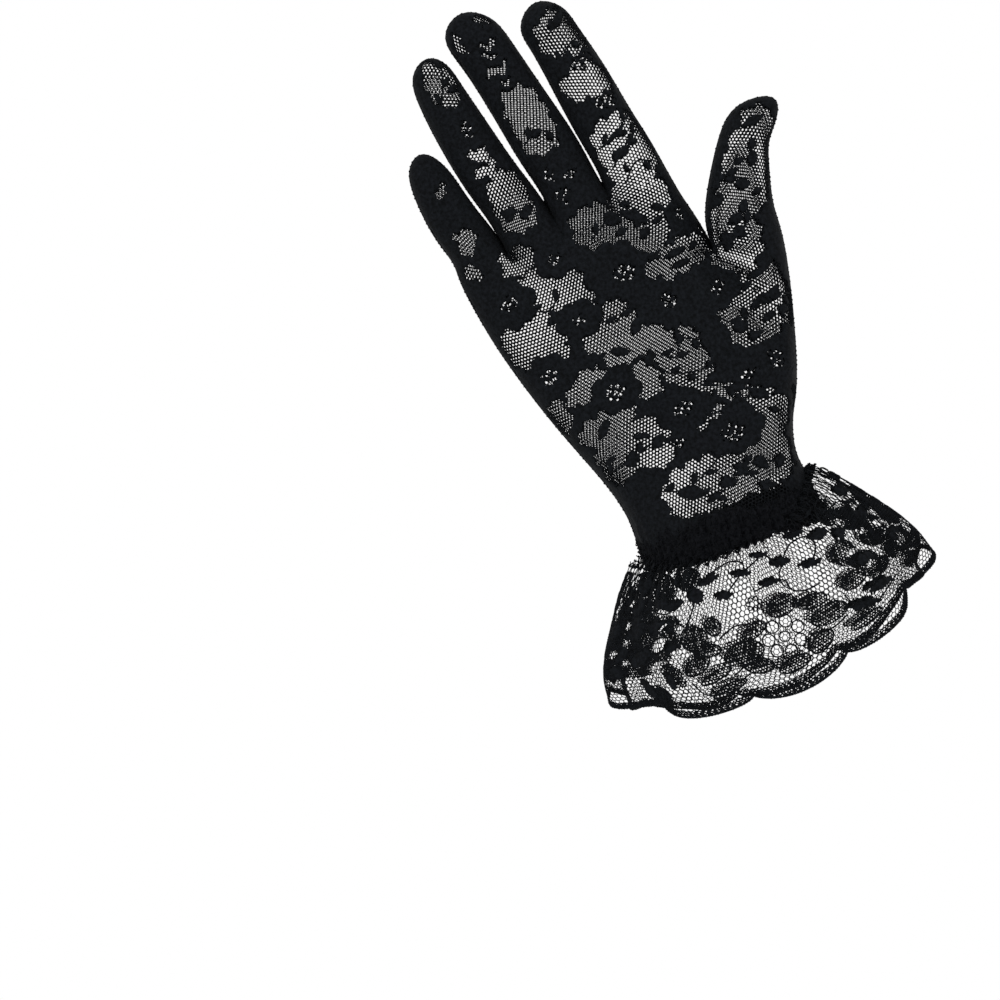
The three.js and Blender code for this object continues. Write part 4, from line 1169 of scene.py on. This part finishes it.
# Ruffle chart, palm side. Petals of close net: across, height, length, width, turn
RUFFLE_PETALS = [
    (-15, -36, 13, 7.5, -8), (2.5, -27.8, 10, 6.5, 0), (12, -31, 10, 4.5, -8), (15, -37, 13, 6, 0),
    (-12.5, -41.5, 10, 5, -28), (-2, -46.2, 11, 4.4, 0), (9, -43.8, 9.5, 5, 22), (-9, -31, 9, 4.2, 12),
    (-27, -25, 8, 9, 30), (-25, -30, 9, 4, -20), (-30, -33, 9, 5, 10), (-26, -38.5, 11, 3, 4),
    (-24, -44, 12, 3, 3), (28, -22, 8, 8, 0), (33, -27, 9, 6, -20), (27, -31, 9, 5, 10),
    (40, -20, 10, 10, 30), (45, -28, 9, 8, 40), (35, -12, 12, 9, -40), (42, -10, 7, 8, -30),
    (29, -8, 6, 9, 0), (36, -31, 9, 5, 20), (47, -34, 6, 4, 30), (-38, -33, 5, 9, 20), (-44, -37, 4, 8, 25),
    (-20, -7, 8, 7, 0), (-27, -6, 6, 8, 0), (-48, -24, 7, 6, 40), (25, -44, 12, 3, 8), (22, -4, 7, 5, 0),
    (-20, -24, 5, 6, 0), (-39, -11, 18, 13, 35), (-37, -20, 18, 10, 15), (-46, -19, 11, 10, 50),
    (-44, -26, 17, 5.5, -4), (-34, -4, 12, 9, 40), (-31, -9, 8, 10, 20), (-50, -14, 12, 12, 60),
    (-54, -23, 7, 9, 0), (48, -16, 7, 13, 20), (50, -27, 6, 9, 10), (44, -6, 8, 8, -40), (39, 0, 7, 6, -40),
]
# Whole cloth: across, height, length, width, turn
RUFFLE_CLOTH = [
    (-12, -17, 5, 2.4, -5), (-3.8, -13.2, 6, 1.8, -18), (9.2, -15.6, 5.2, 2.6, 0), (3.2, -20, 6, 1.8, -4),
    (17.4, -20.4, 7, 1.8, -4), (24, -13.2, 6, 3, 5), (-14, -10.4, 7, 2.0, 6), (4, -10.6, 5, 1.6, -10),
    (17, -9.8, 6, 1.8, 0), (-28, -12.8, 7, 2.4, 6), (-20, -13, 5, 4.5, 50), (-42, -14, 8, 5, 40),
    (-35, -17, 8, 4.5, -20), (-38, -8, 6, 4, 30), (-45, -23, 8, 4, 20), (-36, -24, 10, 3, -4),
    (-33, -3, 6, 4, 30), (-31, -11, 5, 4, 60), (-50, -19, 6, 4, 30), (-48, -12, 5, 3, 50),
    (-54, -24, 4, 5, 0), (33.5, -27, 6, 4, -10), (34, -36.4, 9, 2.6, 6), (27, -39.8, 10, 2.4, -6),
    (39, -13, 6, 3, -50), (46, -24, 5, 3, 60), (-47, -33, 2.4, 7, 10), (-39.5, -34, 2.4, 5, 0),
    (37, -4, 5, 3, -50), (30, -16, 6, 3, 60),
]
# Light places between the side petals, plain net: across, height, length, width, turn
SIDE_GAPS = [
    (-37.7, -22.2, 6, 4.4, 30), (-41.5, -27.4, 6, 2.6, 5), (-52.2, -18.2, 3.6, 2.4, 20),
    (-35, 0.6, 6, 3, 30), (-40.3, -0.5, 4, 3.4, 50), (-50, -22.5, 3, 2, 0), (-43.6, -12.3, 3, 2, 40),
    (-32.4, -13, 4.4, 2.6, -20), (-34, -17.6, 4, 2.2, 10), (-45.5, -6.5, 4.6, 2, 50),
    (-29.5, -21, 3, 3.4, 0), (-46.8, -16.8, 2.6, 1.6, 30), (-39, -6.6, 2.6, 1.8, 10),
    (-55, -27, 3.4, 2, 20), (40.6, -1.8, 5, 3.6, -40), (35.3, -0.5, 4.6, 3, -20),
    (33.6, -7.4, 5, 2.8, -30), (31.6, -13, 3, 4, 10), (31.4, -23.5, 6, 3, -10), (34.7, -29.4, 4, 3.4, 20),
    (47.2, -26.8, 3, 5, 10), (50.6, -23.5, 2.2, 6, 10), (43.2, -19, 4, 2.6, -30),
    (48, -13.8, 3.4, 2.4, -50), (39.3, -10.6, 3.6, 2.4, 40), (27.6, -17.4, 3, 2.6, 0),
    (37.4, -19, 2.6, 3, 20), (42, -32, 4, 2, 10), (45, -9, 2.4, 3.4, 20), (28.6, -4.6, 3, 4, 0),
]
# Rings of round openings: across, height, radius, count, half width and half height of the ring, start
FLOWER_RINGS = [(-1, -37, 2.0, 7, 5.3, 4.9, 0.2), (-5, -23.4, 0.75, 7, 1.9, 1.7, 0.0)]
RUFFLE_HOLES = [(-1, -37, 1.7)] + [
    (cx + half_width * math.cos(k * 2 * math.pi / count + start),
     cz + half_height * math.sin(k * 2 * math.pi / count + start), radius)
    for cx, cz, radius, count, half_width, half_height, start in FLOWER_RINGS for k in range(count)]
# Fine raised lines: points as across, height
RUFFLE_LINES = [
    [(-17, -10), (-12, -8.5), (-6, -8), (-2.5, -10), (-3, -13)],
    [(-12, -17), (-8, -15), (-4, -13), (0, -12), (5, -11), (7, -15), (9, -15.6)],
    [(9, -15.6), (12, -13), (15, -11.5), (20, -12), (21, -16), (18, -20)],
    [(-3, -20), (3, -20), (7, -21), (8, -25), (12, -27), (17, -27)],
    [(11, -15.6), (7, -18), (6, -22), (8, -25)],
    [(-34, -37), (-32, -42), (-28, -44), (-22, -44), (-16, -42.5)],
    [(-29, -22), (-26, -19), (-22, -15), (-20, -12)],
    [(22, -34), (24, -38), (30, -40.5), (36, -38), (40, -36)], [(-20, -28.5), (-14, -27), (-9, -28.5)],
    [(-21, -41), (-14, -39.5), (-9, -42), (-7, -46)],
    [(20, -40), (14, -41.5), (7, -40.5), (4, -44), (3, -47)],
]


def ruffle_masks(x, z):
    """Whole cloth, close net and open places of the ruffle, from a place in space."""
    cloth, close, hole, gap = (np.zeros(x.shape, bool) for _ in range(4))
    for table, mask in ((RUFFLE_PETALS, close), (RUFFLE_CLOTH, cloth), (SIDE_GAPS, gap)):
        for cx, cz, length, width, turn in table:
            mask |= ellipse_value(x, z, cx, cz, length / 2, width / 2, turn)[0] < 1
    for cx, cz, radius in RUFFLE_HOLES:
        hole |= (x - cx) ** 2 + (z - cz) ** 2 < radius ** 2
    return cloth & ~gap, close & ~cloth & ~gap, hole & ~cloth


RUFFLE_PITCH, RUFFLE_THREAD, RUFFLE_JITTER, RUFFLE_SEED = 1.8, 0.175, 0.09, 9
CLOSE_PITCH, CLOSE_THREAD, CLOSE_JITTER, CLOSE_SEED = 1.0, 0.28, 0.05, 13
LINE_RADIUS, LINE_SIDES, RIM_REACH, HOLE_STEPS, PETAL_STEPS = 0.28, 4, 36, 10, 16
# From the scalloped edge inwards: selvedge, bars and how often they come, close net; and the gathered top
SELVEDGE, BAR_LENGTH, BAR_RATE, BAR_CUT, EDGE_NET, TOP_NET = 0.4, 2.4, 3.4, 0.35, 3.2, 3.0
EDGE_CLEARANCE = 0.2
HEM_RADIUS, HEM_KNOT, HEM_STEP = 0.32, 0.46, 1.0


def from_edge(flat):
    """Flat distance up from the scalloped edge."""
    lobe = scallop_lobe(RUFFLE_JOIN - 2 * np.pi * flat[..., 0] / RUFFLE_LENGTH)
    return RUFFLE_DEPTH + SCALLOP_DEPTH * lobe + flat[..., 1]


def ring(cx, cz, half_width, half_height, turn, count):
    """A closed line round an ellipse."""
    c, t = math.cos(math.radians(turn)), math.sin(math.radians(turn))
    round_trip = [2 * math.pi * k / count for k in range(count + 1)]
    rim = [(half_width * math.cos(a), half_height * math.sin(a)) for a in round_trip]
    return [(cx + u * c - v * t, cz + u * t + v * c) for u, v in rim]


def ruffle_rims():
    """Rims of the round openings and of the petals on the palm side."""
    rims = [ring(cx, cz, radius, radius, 0, HOLE_STEPS) for cx, cz, radius in RUFFLE_HOLES]
    for cx, cz, length, width, turn in RUFFLE_PETALS:
        if abs(cx) < RIM_REACH:
            rims.append(ring(cx, cz, length / 2, width / 2, turn, PETAL_STEPS))
    return rims


def ruffle_cloth(net):
    """Wedges of whole cloth: leaves, selvedge and the short bars above it."""
    space, flat, _ = net.wedge_places()
    cloth = ruffle_masks(space[..., 0], space[..., 2])[0]
    rise = from_edge(flat)
    bars = (rise < BAR_LENGTH) & (np.sin(flat[..., 0] * BAR_RATE) > BAR_CUT)
    return cloth | (rise < SELVEDGE) | bars


def open_threads(net, cloth):
    """Threads of the wide net, left out of the round openings on the palm side."""
    pairs = net.threads(cloth)
    middles = net.points[pairs].mean(1)
    return pairs[~(ruffle_masks(middles[:, 0], middles[:, 2])[2] & (middles[:, 1] < 0))]


def close_threads(net):
    """Threads of the close net: petals, the edge and the gathered top."""
    pairs = net.threads(np.zeros(net.cells.shape, bool))
    middles, flat = net.points[pairs].mean(1), net.flat[pairs].mean(1)
    _, close, hole = ruffle_masks(middles[:, 0], middles[:, 2])
    rise = from_edge(flat)
    close |= (rise < EDGE_NET) | (flat[:, 1] > -TOP_NET)
    return pairs[close & ~hole & (rise > EDGE_CLEARANCE)]


def half_net(name, net, pairs, behind, radius):
    """The threads of one half of the ruffle, as tubes."""
    mine = pairs[(net.points[pairs[:, 0], 1] > 0) == behind]
    points, edges, _ = net.runs(mine)
    return tubes(name, net.points[points], edges, radius, THREAD_SIDES, LACE)


def ruffle_half(name, behind):
    """The palm side or the back of the ruffle: wide net, close net, cloth and raised lines."""
    bits = [half_net(name + "_net", wide_net, wide_pairs, behind, RUFFLE_THREAD),
            half_net(name + "_close", close_net, close_pairs, behind, CLOSE_THREAD)]
    here = (wide_net.mid[:, 1] > 0) == behind
    patch = cloth_patch(wide_net, wide_cloth, here, CLOTH_THICKNESS, name + "_cloth")
    patch.data.materials.append(LACE)
    bits.append(patch)
    if not behind:
        lines = RUFFLE_LINES + ruffle_rims()
        bits.append(line_tubes(name + "_lines", space_tree(ruffle), lines, LINE_RADIUS, LINE_SIDES))
    return join(name, bits)


ruffle, hem_points = ruffle_sheet()
wide_net = Net(ruffle, RUFFLE_PITCH, RUFFLE_JITTER, RUFFLE_SEED)
wide_cloth = ruffle_cloth(wide_net)
wide_pairs = open_threads(wide_net, wide_cloth)
close_net = Net(ruffle, CLOSE_PITCH, CLOSE_JITTER, CLOSE_SEED)
close_pairs = close_threads(close_net)
cuff_palm = ruffle_half("cuff_palm_side", False)
cuff_back = ruffle_half("cuff_back_side", True)

hem_edges = [(i, (i + 1) % len(hem_points)) for i in range(len(hem_points))]
hem_cord = knotted("picot_edge", hem_points, hem_edges, HEM_RADIUS, HEM_KNOT, HEM_STEP, LACE)

# Camera, floor and light
VIEW_TURN = math.radians(27)
VIEW_CENTRE = (-62.1 * MM, 0.0, 42.9 * MM)
VIEW_WIDTH = 322.6 * MM
VIEW_DISTANCE, SENSOR_WIDTH, FARTHEST = 2.6, 36, 30
FLOOR_HEIGHT, FLOOR_REACH = -420, 2600
LIGHT_TARGET = Vector((0, 0, 0.05))
# Soft lights: name, place, size, power
LIGHTS = [("key", (-0.9, -1.2, 1.2), 1.2, 30), ("fill", (1.2, -1.0, 0.5), 1.4, 16)]


def camera():
    data = bpy.data.cameras.new("camera")
    data.sensor_width = SENSOR_WIDTH
    data.lens = SENSOR_WIDTH * VIEW_DISTANCE / VIEW_WIDTH
    data.clip_end = FARTHEST
    obj = bpy.data.objects.new("camera", data)
    bpy.context.scene.collection.objects.link(obj)
    right = Vector((math.cos(VIEW_TURN), 0, -math.sin(VIEW_TURN)))
    up = Vector((math.sin(VIEW_TURN), 0, math.cos(VIEW_TURN)))
    back = Vector((0, -1, 0))
    turn = obj.matrix_world.to_3x3()
    for i, axis in enumerate((right, up, back)):
        for k in range(3):
            turn[k][i] = axis[k]
    obj.matrix_world = turn.to_4x4()
    obj.location = Vector(VIEW_CENTRE) + back * VIEW_DISTANCE
    bpy.context.scene.camera = obj


def studio():
    pale = plain_material("pale_ground", (0.93, 0.93, 0.93), 0.9)
    corners = [(-FLOOR_REACH, -FLOOR_REACH), (FLOOR_REACH, -FLOOR_REACH), (FLOOR_REACH, FLOOR_REACH),
               (-FLOOR_REACH, FLOOR_REACH)]
    floor = new_object("pale_floor", [(x, y, FLOOR_HEIGHT) for x, y in corners], [], [[0, 1, 2, 3]], pale)
    bpy.context.scene.view_settings.view_transform = "Standard"
    world = bpy.data.worlds.new("studio")
    world.use_nodes = True
    world.node_tree.nodes["Background"].inputs["Color"].default_value = (1.0, 1.0, 1.0, 1)
    world.node_tree.nodes["Background"].inputs["Strength"].default_value = 1.0
    bpy.context.scene.world = world
    for name, place, size, power in LIGHTS:
        data = bpy.data.lights.new(name, "AREA")
        data.size, data.energy = size, power
        light = bpy.data.objects.new(name, data)
        light.location = place
        light.rotation_euler = (LIGHT_TARGET - Vector(place)).to_track_quat("-Z", "Y").to_euler()
        bpy.context.scene.collection.objects.link(light)


camera()
studio()

# Pieces on the glove's one body, in place of the solids
def carry(obj, node=None):
    """Puts a piece on the glove's one body, in place of a solid."""
    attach(obj, "root")
    if node:
        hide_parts(node)


carry(side_seam)
carry(stems)
for piece, obj in lace_pieces.items():
    carry(obj, piece)
    part, sheets = flat_cuts[piece]
    flat, area = flat_cut(sheets, part)
    trim = [side_seam, stems] if piece == "palm_panel" else []

carry(ruching, "wrist_band")
carry(band_loops)

carry(hem_cord, "cuff_hem")
for obj, trim in ((cuff_palm, [hem_cord]), (cuff_back, [])):
    carry(obj, "cuff_ruffle")
